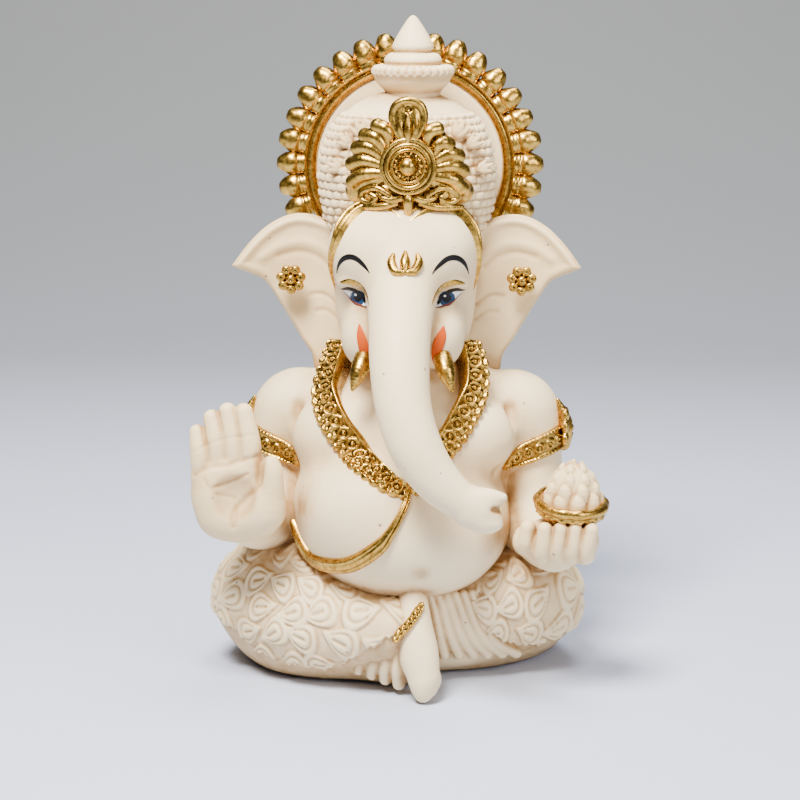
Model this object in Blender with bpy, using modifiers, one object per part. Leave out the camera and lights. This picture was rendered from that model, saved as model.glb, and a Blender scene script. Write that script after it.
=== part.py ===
"""A seated elephant-headed devotional figure, as an assembly of separately cast pieces.

Frame: +Z up, the figure faces -Y, its right hand is at -X. The origin is on the flat underside,
below the middle of the head. Lengths in this file are millimetres until an object is made.
"""

import math

import bmesh
import bpy
from mathutils import Matrix, Vector

MM = 0.001  # metres in a millimetre
GAP = 0.35  # clearance that each piece keeps to the pieces it is fitted on

# Driving dimensions
CROWN_X = 1.2  # the crown's front and its top lean this far to the left side
CROWN_Z = 107.5  # height of the crown's central boss
HALO_Z = 104.3  # height of the halo's centre
HALO_Y = 17.0  # how far the halo stands behind the middle of the head
HALO_INNER = 20.0  # radii of the halo's gold ring
HALO_OUTER = 22.6
HALO_HALF_ARC = math.radians(122)  # the ring runs this far each way from the top
HALO_DISC_THICK = 3.0
RAY_COUNT = 21  # bud-shaped rays round the ring
RAY_HALF_ARC = math.radians(111)
RAY_LENGTH = 5.6
RAY_WIDTH = 4.3
EAR_THICK = 3.2
BOWL_CENTRE = Vector((34.0, -26.0, 38.2))
BOWL_RADIUS = 7.5
FINIAL_Y = 4.0  # the crown's axis lies this far behind the middle of the head

made = []  # every finished piece, in fitting order
uncut = {}  # the mesh each piece had before it was fitted, by name


# ---------------------------------------------------------------- scene and materials


def clear_scene():
    for obj in list(bpy.data.objects):
        bpy.data.objects.remove(obj, do_unlink=True)


def new_collection(name):
    collection = bpy.data.collections.new(name)
    bpy.context.scene.collection.children.link(collection)
    return collection


def new_material(name, colour, roughness, metallic):
    material = bpy.data.materials.new(name)
    material.use_nodes = True
    shader = material.node_tree.nodes["Principled BSDF"]
    shader.inputs["Base Color"].default_value = (*colour, 1.0)
    shader.inputs["Roughness"].default_value = roughness
    shader.inputs["Metallic"].default_value = metallic
    return material


def link(obj, collection, material=None):
    collection.objects.link(obj)
    if material:
        obj.data.materials.clear()
        obj.data.materials.append(material)
    return obj


def bake(obj):
    """Replaces the object's mesh by its evaluated one and drops the modifiers."""
    bpy.context.view_layer.update()
    evaluated = obj.evaluated_get(bpy.context.evaluated_depsgraph_get())
    mesh = bpy.data.meshes.new_from_object(evaluated)
    obj.modifiers.clear()
    obj.data = mesh
    return obj


# ---------------------------------------------------------------- shapes


def ball(bm, centre, radii, tilt=(0, 0, 0)):
    """An ellipsoid. tilt is in degrees about X, Y and Z."""
    turn = Matrix.Identity(4)
    for axis, angle in zip("XYZ", tilt):
        turn = Matrix.Rotation(math.radians(angle), 4, axis) @ turn
    size = Matrix.Diagonal((*(r * MM for r in radii), 1))
    place = Matrix.Translation(Vector(centre) * MM)
    bmesh.ops.create_uvsphere(bm, u_segments=20, v_segments=12, radius=1, matrix=place @ turn @ size)


def smooth_path(knots, count):
    """Points and radii on a Catmull-Rom curve through (x, y, z, radius) knots."""
    rows = [Vector(k) for k in knots]
    rows = [2 * rows[0] - rows[1], *rows, 2 * rows[-1] - rows[-2]]
    spans = len(rows) - 3
    found = []
    for i in range(count + 1):
        at = min(i / count * spans, spans - 1e-6)
        k = int(at)
        t = at - k
        a, b, c, d = rows[k : k + 4]
        bend, twist = 2 * a - 5 * b + 4 * c - d, 3 * b - 3 * c + d - a
        found.append(0.5 * (2 * b + (c - a) * t + bend * t**2 + twist * t**3))
    return found


def chain(bm, knots, count=14):
    """A limb, finger or rope: a tapering tube along a smooth path, with round ends."""
    rows = smooth_path(knots, count)
    curve = bpy.data.curves.new("limb", "CURVE")
    curve.dimensions = "3D"
    curve.bevel_depth = MM
    curve.bevel_resolution = 3
    curve.use_fill_caps = True
    spline = curve.splines.new("POLY")
    spline.points.add(len(rows) - 1)
    for point, (x, y, z, r) in zip(spline.points, rows):
        point.co = (x * MM, y * MM, z * MM, 1)
        point.radius = r
    guide = bpy.data.objects.new("limb", curve)
    bpy.context.scene.collection.objects.link(guide)
    bpy.context.view_layer.update()
    mesh = bpy.data.meshes.new_from_object(guide.evaluated_get(bpy.context.evaluated_depsgraph_get()))
    bm.from_mesh(mesh)
    bpy.data.objects.remove(guide)
    bpy.data.meshes.remove(mesh)
    for x, y, z, r in (rows[0], rows[-1]):
        ball(bm, (x, y, z), (r, r, r))


def rod(bm, start, end, radius):
    """A plain round peg between two points."""
    a, b = Vector(start) * MM, Vector(end) * MM
    turn = (b - a).to_track_quat("Z", "Y").to_matrix().to_4x4()
    place = Matrix.Translation((a + b) / 2) @ turn
    wide, tall = radius * MM, (b - a).length
    bmesh.ops.create_cone(bm, cap_ends=True, segments=24, radius1=wide, radius2=wide, depth=tall, matrix=place)


def remesh(obj, voxel, rounds, faces):
    """Fuses the object's overlapping shapes into one skin, softens the joins and thins the mesh."""
    fuse = obj.modifiers.new("Fuse", "REMESH")
    fuse.mode = "VOXEL"
    fuse.voxel_size = voxel * MM
    soften = obj.modifiers.new("Soften", "SMOOTH")
    soften.factor = 0.5
    soften.iterations = rounds
    bake(obj)
    triangles = sum(len(p.vertices) - 2 for p in obj.data.polygons)
    thin = obj.modifiers.new("Thin", "DECIMATE")
    thin.ratio = min(1.0, faces / triangles)
    return bake(obj)


def sculpt(name, material, build, voxel=0.9, rounds=4, faces=900):
    """One soft-shaped piece: build fills a bmesh with overlapping shapes."""
    bm = bmesh.new()
    build(bm)
    mesh = bpy.data.meshes.new(name)
    bm.to_mesh(mesh)
    bm.free()
    obj = link(bpy.data.objects.new(name, mesh), parts, material)
    return remesh(obj, voxel, rounds, faces)


def turned(name, material, profile, centre, steps=20, squash=1.0):
    """A turned piece about a vertical axis. The profile lists (radius, z), top to bottom."""
    mesh = bpy.data.meshes.new(name)
    points = [(r * MM, 0, z * MM) for r, z in profile]
    mesh.from_pydata(points, [(i, i + 1) for i in range(len(points) - 1)], [])
    obj = link(bpy.data.objects.new(name, mesh), parts, material)
    screw = obj.modifiers.new("Turn", "SCREW")
    screw.steps = screw.render_steps = steps
    screw.use_merge_vertices = True
    screw.merge_threshold = 0.00001
    bake(obj)
    obj.data.transform(Matrix.Translation(Vector(centre) * MM) @ Matrix.Diagonal((1, squash, 1, 1)))
    return obj


def flat_plate(name, material, outline, thickness, bevel=0.0):
    """A flat plate standing in the XZ plane, from an outline of (x, z) points."""
    curve = bpy.data.curves.new(name, "CURVE")
    curve.dimensions = "2D"
    curve.fill_mode = "BOTH"
    curve.extrude = (thickness / 2 - bevel) * MM
    curve.bevel_depth = bevel * MM
    curve.bevel_resolution = 1
    spline = curve.splines.new("POLY")
    spline.points.add(len(outline) - 1)
    for point, (x, z) in zip(spline.points, outline):
        point.co = (x * MM, z * MM, 0, 1)
    spline.use_cyclic_u = True
    guide = bpy.data.objects.new(name + "_outline", curve)
    bpy.context.scene.collection.objects.link(guide)
    bpy.context.view_layer.update()
    mesh = bpy.data.meshes.new_from_object(guide.evaluated_get(bpy.context.evaluated_depsgraph_get()))
    bpy.data.objects.remove(guide)
    mesh.transform(Matrix.Rotation(math.radians(90), 4, "X"))
    bm = bmesh.new()
    bm.from_mesh(mesh)
    bmesh.ops.remove_doubles(bm, verts=bm.verts, dist=0.00001)
    bmesh.ops.recalc_face_normals(bm, faces=bm.faces)
    bm.to_mesh(mesh)
    bm.free()
    return link(bpy.data.objects.new(name, mesh), parts, material)


def bounds(obj, margin=0.0):
    corners = [obj.matrix_world @ Vector(c) for c in obj.bound_box]
    low = [min(c[k] for c in corners) - margin for k in range(3)]
    high = [max(c[k] for c in corners) + margin for k in range(3)]
    return low, high


def near(a, b):
    """True if the boxes of two objects meet within the fitting gap."""
    (alo, ahi), (blo, bhi) = bounds(a, GAP * MM), bounds(b, GAP * MM)
    return all(alo[k] < bhi[k] and blo[k] < ahi[k] for k in range(3))


def grown_copy(obj):
    """A cutter: the surface the object had before it was fitted, moved out by the fitting gap."""
    cutter = bpy.data.objects.new(obj.name + "_room", uncut[obj.name].copy())
    cutters.objects.link(cutter)
    cutter.matrix_world = obj.matrix_world
    grow = cutter.modifiers.new("Grow", "DISPLACE")
    grow.mid_level = 0.0
    grow.strength = GAP * MM
    cutter.hide_render = True
    cutter.display_type = "WIRE"
    return cutter


def keep_largest_island(obj):
    """Removes the crumbs that a cut leaves beside the piece."""
    bm = bmesh.new()
    bm.from_mesh(obj.data)
    bmesh.ops.remove_doubles(bm, verts=bm.verts, dist=0.000002)
    left, islands = set(bm.verts), []
    while left:
        island, edge = set(), [left.pop()]
        while edge:
            vert = edge.pop()
            island.add(vert)
            for other in (e.other_vert(vert) for e in vert.link_edges):
                if other in left:
                    left.remove(other)
                    edge.append(other)
        islands.append(island)
    areas = [sum(f.calc_area() for f in {f for v in island for f in v.link_faces}) for island in islands]
    biggest = islands[areas.index(max(areas))]
    bmesh.ops.delete(bm, geom=[v for v in bm.verts if v not in biggest], context="VERTS")
    bm.to_mesh(obj.data)
    bm.free()


def fit(obj):
    """Cuts the new piece back from every earlier piece that it meets, which leaves sockets and seats."""
    uncut[obj.name] = obj.data.copy()
    for other in made:
        if near(obj, other):
            cut = obj.modifiers.new("Clear_" + other.name, "BOOLEAN")
            cut.operation = "DIFFERENCE"
            cut.object = grown_copy(other)
    if obj.modifiers:
        bake(obj)
        keep_largest_island(obj)
    obj.data.shade_smooth()
    obj.data.set_sharp_from_angle(angle=math.radians(40))
    made.append(obj)
    return obj


def slice_below(obj, height):
    """Cuts the piece off flat at a height, so that it stands on that face."""
    bm = bmesh.new()
    bm.from_mesh(obj.data)
    geometry = [*bm.verts, *bm.edges, *bm.faces]
    cut = bmesh.ops.bisect_plane(
        bm, geom=geometry, plane_co=(0, 0, height * MM), plane_no=(0, 0, -1), clear_outer=True, dist=0.000001
    )
    rim = [g for g in cut["geom_cut"] if isinstance(g, bmesh.types.BMEdge)]
    bmesh.ops.holes_fill(bm, edges=rim)
    bmesh.ops.triangulate(bm, faces=[f for f in bm.faces if len(f.verts) > 4])
    bm.to_mesh(obj.data)
    bm.free()
    return obj


# ---------------------------------------------------------------- body


def torso_shape(bm):
    ball(bm, (0, -8, 33), (22.5, 24.5, 18))  # belly
    ball(bm, (-8, -13.5, 38.5), (14, 17.5, 11.5))  # upper belly, above the thread
    ball(bm, (0, -2, 51), (22, 17, 14.5))  # chest
    ball(bm, (0, 6, 40), (20, 14, 24))  # back
    for side in (-1, 1):
        ball(bm, (side * 11.5, -11, 51), (10.5, 9, 9))  # breast
        ball(bm, (side * 21.5, 0, 53.6), (9.2, 9.2, 9.0))  # shoulder
        chain(bm, [(side * 24, 0, 53, 8.2), (side * 25.2, -0.5, 49, 7.7), (side * 25.8, -1, 46.6, 7.3)], 5)
    ball(bm, (0, 1, 64), (11.5, 10, 9))  # neck
    rod(bm, (0, 2, 66), (0, 2, 76), 4.5)  # tenon that the head sits on


def right_arm_shape(bm):
    chain(bm, [(-26, -1, 45.5, 7.4), (-26.5, -2, 40, 7.2), (-26, -5, 34, 6.6)], 8)
    chain(bm, [(-26, -5, 34, 6.6), (-28.5, -12, 32.5, 5.8), (-31, -18, 33.5, 5.0)], 10)
    rod(bm, (-31, -17, 34), (-31.8, -23, 35.5), 2.2)  # wrist peg


def left_arm_shape(bm):
    chain(bm, [(26, -1, 45.5, 7.4), (26.2, -2, 38, 7.2), (26.5, -5, 31.5, 6.8)], 8)
    chain(bm, [(26.5, -5, 31.5, 6.6), (29.5, -12, 29.5, 6.0), (31.5, -17, 29.5, 5.4)], 10)
    rod(bm, (31, -16, 29.5), (32.5, -22, 30), 2.2)  # wrist peg


def seat_shape(bm):
    ball(bm, (-1, 4, 7), (34, 24, 9.5))
    ball(bm, (-1, 5, 13), (31, 22, 12))


def right_leg_shape(bm):
    chain(bm, [(-14, 3, 19, 11), (-24, -1, 18, 12), (-30, -5, 15, 11)], 12)  # thigh and knee
    chain(bm, [(-29.5, -8, 13, 10.3), (-20, -16, 12, 10), (-10, -21, 12, 8.4), (-2, -25, 13, 6.5)], 20)
    low = [(-31, 2, 6, 8), (-25, -9.5, 6, 8), (-17, -13.5, 6, 8), (-9, -15.5, 6, 7.5), (0, -18.5, 5.5, 7)]
    chain(bm, low, 20)  # cloth tucked under the shin
    chain(bm, [(-27, -8, 21.5, 7), (-19, -15, 18.8, 7.5), (-10, -20.8, 15.2, 7), (-2, -24, 13.5, 6)], 16)


def left_leg_shape(bm):
    chain(bm, [(13, 5, 18, 11), (22, 2, 17, 11.5), (27.5, -2, 14.5, 10.4)], 12)
    chain(bm, [(27, -3, 12.5, 9.6), (19.5, -8, 11.5, 9.2), (9, -12, 10.5, 8)], 16)
    chain(bm, [(27, 6, 6, 8), (21.5, -1, 6, 8), (14.5, -5.5, 6, 8), (6, -8.5, 6, 7.5)], 16)
    chain(bm, [(26, -3, 19.5, 7), (19, -9.5, 17.6, 7.5), (11, -15.5, 15.2, 6.8), (5, -19.5, 14.5, 5.5)], 16)


def pleats_shape(bm):
    """Gathered cloth that fans out beside the foot."""
    for i in range(5):
        middle = (7.4 + 2.4 * i, -20.6 + 1.1 * i, 12.6 - 0.9 * i, 1.7)
        chain(bm, [(5.2 + 1.9 * i, -20.6 + 0.6 * i, 19 - 0.3 * i, 1.5), middle,
                   (8.8 + 3.6 * i, -18.6 + 1.6 * i, 6.4 - 0.5 * i, 1.6)], 12)


def hem_shape(bm):
    """Rippled hem of the cloth beside the foot."""
    for i in range(4):
        chain(bm, [(-7.2 + 2.3 * i, -23.0 - 0.9 * i, 8.9 + 1.0 * i, 1.3),
                   (-8.0 + 2.5 * i, -23.6 - 0.9 * i, 6.6 - 0.2 * i, 1.5),
                   (-8.2 + 2.8 * i, -23.2 - 0.9 * i, 4.4 - 0.7 * i, 1.3)], 9)


def foot_shape(bm):
    chain(bm, [(2.4, -25.4, 19.5, 3.6), (3, -27.6, 14.5, 4.3), (4, -29.4, 9.5, 4.5), (5, -31, 5.4, 3.7)], 16)
    ball(bm, (5.2, -31.8, 3.5), (2.8, 2.3, 3.1))  # toes


def right_hand_shape(bm):
    """Raised open hand, palm to the front."""
    ball(bm, (-33.2, -24.5, 41.5), (9.2, 4.0, 9.5))
    ball(bm, (-28.4, -26, 38.5), (5.0, 3.6, 6.5), (0, 10, 0))  # ball of the thumb
    ball(bm, (-37, -25.6, 39), (4.4, 3.4, 6.5))
    ball(bm, (-33, -24.5, 35.6), (7.6, 4.2, 4.4))
    tops = ((-41.2, 54.0), (-38.0, 57.6), (-34.6, 59.0), (-31.0, 58.6))
    for root, (x, top) in zip((-40.4, -37.2, -33.6, -30.0), tops):
        chain(bm, [(root, -24.8, 44, 2.0), ((root + x) / 2, -24.6, 50, 2.05), (x, -24.2, top, 1.75)], 9)
    chain(bm, [(-26.6, -26, 39, 3.2), (-25.4, -26.5, 44, 2.2), (-26.2, -27, 48.6, 1.6)], 9)  # thumb


def left_hand_shape(bm):
    """Cupped open hand that carries the bowl, fingers curled up at the front."""
    ball(bm, (32, -21, 31), (8.3, 6.5, 4.6))
    ball(bm, (32.2, -26, 32.4), (8.0, 5.2, 4.2))
    for i in range(5):
        x = 26.6 + 3.0 * i
        chain(bm, [(x + 0.3, -27, 30.4, 1.9), (x + 0.3, -30.6, 32, 1.8), (x + 0.5, -31.8, 35.2, 1.6)], 10)
    chain(bm, [(25.6, -20, 31.5, 2.6), (24.9, -23.5, 33.5, 2.2), (25.4, -26, 36.4, 1.6)], 9)  # thumb


# ---------------------------------------------------------------- head


def head_shape(bm):
    ball(bm, (0, -3.5, 86), (15, 16.5, 16))  # skull
    ball(bm, (0, -5, 75), (13.8, 13.5, 13.5))  # cheeks
    for side in (-1, 1):
        ball(bm, (side * 7, -11, 90), (8, 9.5, 8.5))  # forehead dome
        ball(bm, (side * 7.4, -15, 72.5), (5.2, 7.5, 6.5))  # tusk root
    chain(bm, [(0, -12, 90, 8.5), (0, -19, 84, 7.2), (0, -26, 77, 6.3), (0.2, -32, 69.5, 5.9),
               (1.2, -36.3, 62, 5.5), (3.6, -38.8, 55, 5.2), (7.5, -39.6, 48.8, 4.6),
               (12.2, -39.8, 44.6, 3.8), (16.2, -40, 42.9, 3.3)], 60)
    chain(bm, [(15, -40, 44, 2.6), (18.2, -40.4, 44.6, 1.9), (20, -40.6, 44.9, 1.1)], 6)  # upper lip
    chain(bm, [(15, -40, 42, 3.0), (17.6, -40.4, 40.6, 2.5), (19.2, -40.8, 40.4, 1.4)], 6)  # lower lip
    rod(bm, (0, 0, 98), (0, 0, 109), 4.5)  # tenon for the crown


def tusk_shape(side):
    def build(bm):
        chain(bm, [(side * 8.4, -19.5, 71, 1.4), (side * 8.9, -21.8, 69, 1.9),
                   (side * 9.7, -24.2, 66.4, 1.8), (side * 10.8, -26, 63.2, 0.8)], 12)

    return build


def ear_outline(side):
    """Outline of an ear, from the top of its root round the pointed tip to the lobe."""
    right = [(13.5, 92), (18.5, 94.8), (24, 95.3), (29, 93.2), (33, 89.6), (36.6, 84.9), (33.2, 83.0),
             (30.2, 81.2), (27.8, 77.6), (25.2, 73.2), (22.6, 68.8), (20.4, 65.4), (20.0, 61.8),
             (16.0, 62.6), (12.0, 65.4), (10.5, 74), (11.5, 84)]
    return [(side * x, z) for x, z in (right if side > 0 else right[::-1])]


def ear_sweep(x):
    """How far back (+) or forward (-) the ear's sheet lies at a distance x from the middle."""
    t = (abs(x) - 12) / 25
    return 1.5 + 3.2 * math.sin(math.pi * min(max(t, 0), 1)) - 3.0 * max(t, 0) ** 2


def make_ear(name, side, material):
    ear = flat_plate(name, material, ear_outline(side), EAR_THICK)
    remesh(ear, 0.7, 3, 2600)
    for vert in ear.data.vertices:
        vert.co.y += ear_sweep(vert.co.x / MM) * MM
    thin = ear.modifiers.new("Thin", "DECIMATE")
    thin.ratio = 0.11
    return bake(ear)


def flower_shape(x, y, z):
    def build(bm):
        for i in range(7):
            angle = 2 * math.pi * i / 7
            ball(bm, (x + 2.3 * math.cos(angle), y, z + 2.3 * math.sin(angle)), (1.15, 1.1, 1.15))
        ball(bm, (x, y - 0.3, z), (1.5, 1.5, 1.5))
        ball(bm, (x, y + 0.4, z), (2.6, 0.7, 2.6))

    return build


def tilak_shape(bm):
    """Three-petalled forehead mark."""
    x, y = 0.9, -24.6
    ball(bm, (x, y, 89.0), (1.1, 1.6, 2.3))
    for side in (-1, 1):
        chain(bm, [(x + side * 0.6, y, 87.2, 0.9), (x + side * 2.3, y + 0.2, 87.8, 0.95),
                   (x + side * 2.6, y + 0.3, 90.2, 0.8)], 7)


# ---------------------------------------------------------------- crown and halo


def crown_band_shape(bm):
    """Gold band that frames the forehead: two arches that meet in a point, with a run down each temple."""
    for side in (-1, 1):
        arch = [(1, -20, 97.4, 1.3), (1 + side * 2.4, -19.6, 98.6, 1.5), (0.6 + side * 6, -18.4, 99.6, 1.5)]
        run = [(side * 10, -15.4, 98.4, 1.5), (side * 13.2, -10.5, 94.5, 1.4), (side * 14.8, -6.5, 89, 1.2),
               (side * 15.0, -5.0, 82, 1.0), (side * 14.2, -4.5, 75, 0.9)]
        chain(bm, arch + run, 44)


def crown_plaque_shape(bm):
    """Fan of lobes round the boss, on a curved backing."""
    ball(bm, (CROWN_X, -12.6, 105.5), (10.5, 4.0, 8.5))
    for side in (-1, 1):
        for degrees, reach in ((34, 9.8), (57, 10.2), (80, 10.2), (103, 10.4), (124, 10.6)):
            angle = math.radians(degrees)
            x, z = side * math.sin(angle), math.cos(angle)
            back = 0.030 * (reach * x) ** 2
            at = (CROWN_X + reach * x * 0.82, -15.6 + back * 0.7, CROWN_Z + reach * z * 0.82)
            ball(bm, at, (1.7, 2.2, 3.3), (0, side * degrees, 0))
    ball(bm, (CROWN_X, -16.4, 100.4), (9.5, 2.2, 1.7))
    ball(bm, (CROWN_X, -18.0, 100.0), (1.5, 1.8, 2.8))


def crown_leaf_shape(bm):
    ball(bm, (CROWN_X, -14.2, 116.6), (3.9, 2.0, 3.4))
    ball(bm, (CROWN_X, -15.4, 116.2), (1.9, 1.7, 4.2))


def crown_boss_shape(bm):
    knots = []
    for i in range(13):
        angle = 2 * math.pi * i / 12
        knots.append((CROWN_X + 4.1 * math.cos(angle), -18.4, CROWN_Z + 4.1 * math.sin(angle), 0.9))
    chain(bm, knots, 30)
    ball(bm, (CROWN_X, -17.9, CROWN_Z), (4.2, 1.2, 4.2))
    ball(bm, (CROWN_X, -18.6, CROWN_Z), (2.0, 2.0, 2.0))


CROWN_PROFILE = [(0, 120.6), (6.4, 120.4), (8.0, 120.0), (10.4, 118.9), (13.4, 116.6), (16.0, 113.2),
                 (17.8, 108.6), (18.4, 103.5), (17.9, 97.5), (16.4, 92.5), (14.6, 88.0), (0, 87.6)]
LOTUS_PROFILE = [(0, 131.2), (1.6, 131.0), (1.6, 126.6), (6.6, 126.2), (8.2, 125.4), (8.5, 124.4),
                 (7.9, 122.8), (6.4, 121.2), (0, 121.0)]
TIER_PROFILE = [(0, 129.6), (4.4, 129.4), (4.6, 128.6), (4.4, 128.0), (5.8, 127.7), (6.1, 127.1),
                (5.9, 126.6), (0, 126.5)]
BUD_PROFILE = [(0, 136.6), (0.5, 136.4), (1.3, 135.4), (2.5, 133.6), (3.7, 131.6), (4.3, 130.4), (4.0, 129.9),
               (0, 129.9)]


def halo_point(radius, angle):
    """(x, z) on the halo, the angle counted from the top."""
    return radius * math.sin(angle), HALO_Z + radius * math.cos(angle)


def halo_ring_outline():
    steps = 28
    angles = [HALO_HALF_ARC * (2 * i / steps - 1) for i in range(steps + 1)]
    return [halo_point(HALO_OUTER, a) for a in angles] + [halo_point(HALO_INNER, a) for a in reversed(angles)]


def halo_disc_outline():
    """The white back of the halo: a round top that narrows to the neck."""
    steps = 28
    angles = [HALO_HALF_ARC * (2 * i / steps - 1) for i in range(steps + 1)]
    round_top = [halo_point(HALO_INNER - GAP, a) for a in angles]
    return round_top + [(12, 86), (10, 74), (-10, 74), (-12, 86)]


def make_ray(name, angle, material):
    """One bud of the halo, turned about its own axis, flattened and laid along a radius."""
    profile = [(0, RAY_LENGTH), (1.4, RAY_LENGTH * 0.77), (RAY_WIDTH / 2, RAY_LENGTH * 0.48),
               (1.4, RAY_LENGTH * 0.13), (1.4, 0), (0, 0)]
    ray = turned(name, material, profile, (0, 0, 0), steps=8, squash=0.8)
    x, z = halo_point(HALO_OUTER + GAP, angle)
    ray.location = Vector((x, HALO_Y, z)) * MM
    ray.rotation_euler = (0, angle, 0)
    bpy.context.view_layer.update()
    return ray


# ---------------------------------------------------------------- ornaments


def armlet_shape(side):
    """Band round the upper arm that rises to the outside."""

    def build(bm):
        steps = 16
        knots = []
        for i in range(steps + 1):
            angle = 2 * math.pi * i / steps
            x = side * (25.9 + 7.8 * math.cos(angle))
            knots.append((x, -1.0 + 7.8 * math.sin(angle), 47.2 + 1.9 * math.cos(angle), 1.8))
        chain(bm, knots, 40)

    return build


def armlet_leaf_shape(side):
    def build(bm):
        ball(bm, (side * 34.6, -2.0, 50.8), (1.4, 3.2, 4.6), (0, side * -10, 0))
        ball(bm, (side * 34.2, -2.0, 53.6), (1.2, 1.8, 3.6), (0, side * -14, 0))

    return build


def necklace_shape(bm):
    """Collar of studs that hangs from the neck to the belly."""
    middle = (1.8, -30.2, 43.4, 1.6)
    right = [(-12, -8, 68, 2.6), (-14.6, -13, 62.5, 2.8), (-14.6, -17, 57.5, 3),
             (-11.2, -22.4, 52.3, 3.2), (-6.2, -27, 47.4, 2.8)]
    left = [(12.4, -8, 68, 2.6), (14.6, -13, 62.5, 2.8), (13.6, -17.5, 57.4, 2.9), (10.6, -21.8, 52.6, 2.8),
            (6.4, -26.6, 48.0, 2.4)]
    for knots in (right, left):
        chain(bm, knots + [middle], 34)


def thread_shape(bm):
    """Sacred thread that crosses the belly."""
    chain(bm, [(1.7, -30.2, 41.8, 0.9), (0.3, -31.8, 38.6, 1.1), (-4.1, -33.0, 32.5, 1.5),
               (-9.6, -30.2, 28.3, 1.6), (-14.4, -26.0, 26.8, 1.6), (-17.9, -21.4, 26.8, 1.5),
               (-20.6, -17.6, 29, 1.2), (-22.2, -14.2, 32.4, 1.0)], 44)


def anklet_shape(bm):
    """Bangle that crosses the front of the ankle, tilted up to the left."""
    chain(bm, [(-0.4, -30.6, 13.6, 0.9), (1.4, -32.0, 15.6, 1.1), (2.9, -32.2, 17.6, 1.1),
               (4.2, -31.2, 19.4, 1.1), (5.2, -29.6, 20.6, 0.8)], 20)


BOWL_PROFILE = [(0, 0.2), (5.9, 0.2), (6.3, 1.5), (7.2, 1.6), (BOWL_RADIUS, 0.8), (7.1, 0.0), (5.6, -1.4),
                (3.0, -2.4), (0, -2.7)]


def sweets_shape(bm):
    """Heap of pleated sweets, in rings that close to a point."""
    centre = BOWL_CENTRE
    rings = ((9, 3.9, 1.6), (8, 3.2, 3.9), (6, 2.2, 6.1), (4, 1.1, 8.0))
    for ring, (count, radius, height) in enumerate(rings):
        for i in range(count):
            angle = 2 * math.pi * (i + 0.5 * (ring % 2)) / count
            at = centre + Vector((radius * math.cos(angle), radius * math.sin(angle), height))
            ball(bm, at, (1.7, 1.7, 2.1))
    ball(bm, centre + Vector((0, 0, 4)), (3.2, 3.2, 5.4))


# ---------------------------------------------------------------- assembly

clear_scene()
parts = new_collection("ganesha_idol")
cutters = new_collection("fitting_cutters")
ivory = new_material("ivory_resin", (0.86, 0.78, 0.66), 0.55, 0.0)
gold = new_material("gold_paint", (0.72, 0.47, 0.13), 0.3, 1.0)

fit(sculpt("torso", ivory, torso_shape, 0.9, 5, 950))
seat = sculpt("seat", ivory, seat_shape, 1.0, 3, 300)
fit(slice_below(seat, 0.0))
for name, shape in (("right_leg", right_leg_shape), ("left_leg", left_leg_shape)):
    fit(slice_below(sculpt(name, ivory, shape, 0.9, 4, 480), 0.0))
fit(sculpt("right_arm", ivory, right_arm_shape, 0.7, 3, 240))
fit(sculpt("left_arm", ivory, left_arm_shape, 0.7, 3, 240))
fit(sculpt("right_hand", ivory, right_hand_shape, 0.45, 2, 640))
fit(sculpt("left_hand", ivory, left_hand_shape, 0.45, 2, 520))
fit(slice_below(sculpt("right_foot", ivory, foot_shape, 0.6, 2, 180), 0.0))
fit(slice_below(sculpt("hem_ruffle", ivory, hem_shape, 0.5, 1, 220), 0.0))
fit(slice_below(sculpt("dhoti_pleats", ivory, pleats_shape, 0.5, 1, 260), 0.0))
fit(sculpt("head", ivory, head_shape, 0.8, 3, 1000))
fit(sculpt("right_tusk", gold, tusk_shape(-1), 0.35, 1, 80))
fit(sculpt("left_tusk", gold, tusk_shape(1), 0.35, 1, 80))
fit(turned("crown_cap", ivory, CROWN_PROFILE, (0, FINIAL_Y, 0), steps=22, squash=0.76))
fit(sculpt("crown_band", gold, crown_band_shape, 0.45, 1, 300))
fit(sculpt("crown_plaque", gold, crown_plaque_shape, 0.45, 1, 640))
fit(sculpt("crown_leaf", gold, crown_leaf_shape, 0.4, 1, 120))
fit(sculpt("crown_boss", gold, crown_boss_shape, 0.35, 1, 220))
fit(turned("lotus_tier", ivory, LOTUS_PROFILE, (CROWN_X, FINIAL_Y, 0)))
fit(turned("upper_tier", ivory, TIER_PROFILE, (CROWN_X, FINIAL_Y, 0)))
fit(turned("finial_bud", ivory, BUD_PROFILE, (CROWN_X, FINIAL_Y, 0), steps=16))
fit(make_ear("right_ear", -1, ivory))
fit(make_ear("left_ear", 1, ivory))
disc = flat_plate("halo_disc", ivory, halo_disc_outline(), HALO_DISC_THICK)
disc.data.transform(Matrix.Translation((0, HALO_Y * MM, 0)))
fit(disc)
ring = flat_plate("halo_ring", gold, halo_ring_outline(), 4.4)
ring.data.transform(Matrix.Translation((0, HALO_Y * MM, 0)))
fit(ring)
for number in range(RAY_COUNT):
    turn = RAY_HALF_ARC * (2 * number / (RAY_COUNT - 1) - 1)
    fit(make_ray(f"halo_ray_{number + 1:02d}", turn, gold))
fit(sculpt("necklace", gold, necklace_shape, 0.6, 1, 360))
fit(sculpt("sacred_thread", gold, thread_shape, 0.4, 1, 220))
for name, side in (("right", -1), ("left", 1)):
    fit(sculpt(f"{name}_armlet", gold, armlet_shape(side), 0.5, 1, 200))
    fit(sculpt(f"{name}_armlet_leaf", gold, armlet_leaf_shape(side), 0.4, 1, 80))
fit(sculpt("anklet", gold, anklet_shape, 0.35, 1, 150))
fit(turned("bowl", gold, BOWL_PROFILE, BOWL_CENTRE, steps=20))
fit(sculpt("sweets", ivory, sweets_shape, 0.4, 1, 360))
fit(sculpt("right_ear_flower", gold, flower_shape(-24.2, 0.0, 81.8), 0.35, 1, 180))
fit(sculpt("left_ear_flower", gold, flower_shape(24.2, 0.0, 81.8), 0.35, 1, 180))
fit(sculpt("tilak", gold, tilak_shape, 0.35, 1, 120))
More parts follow.
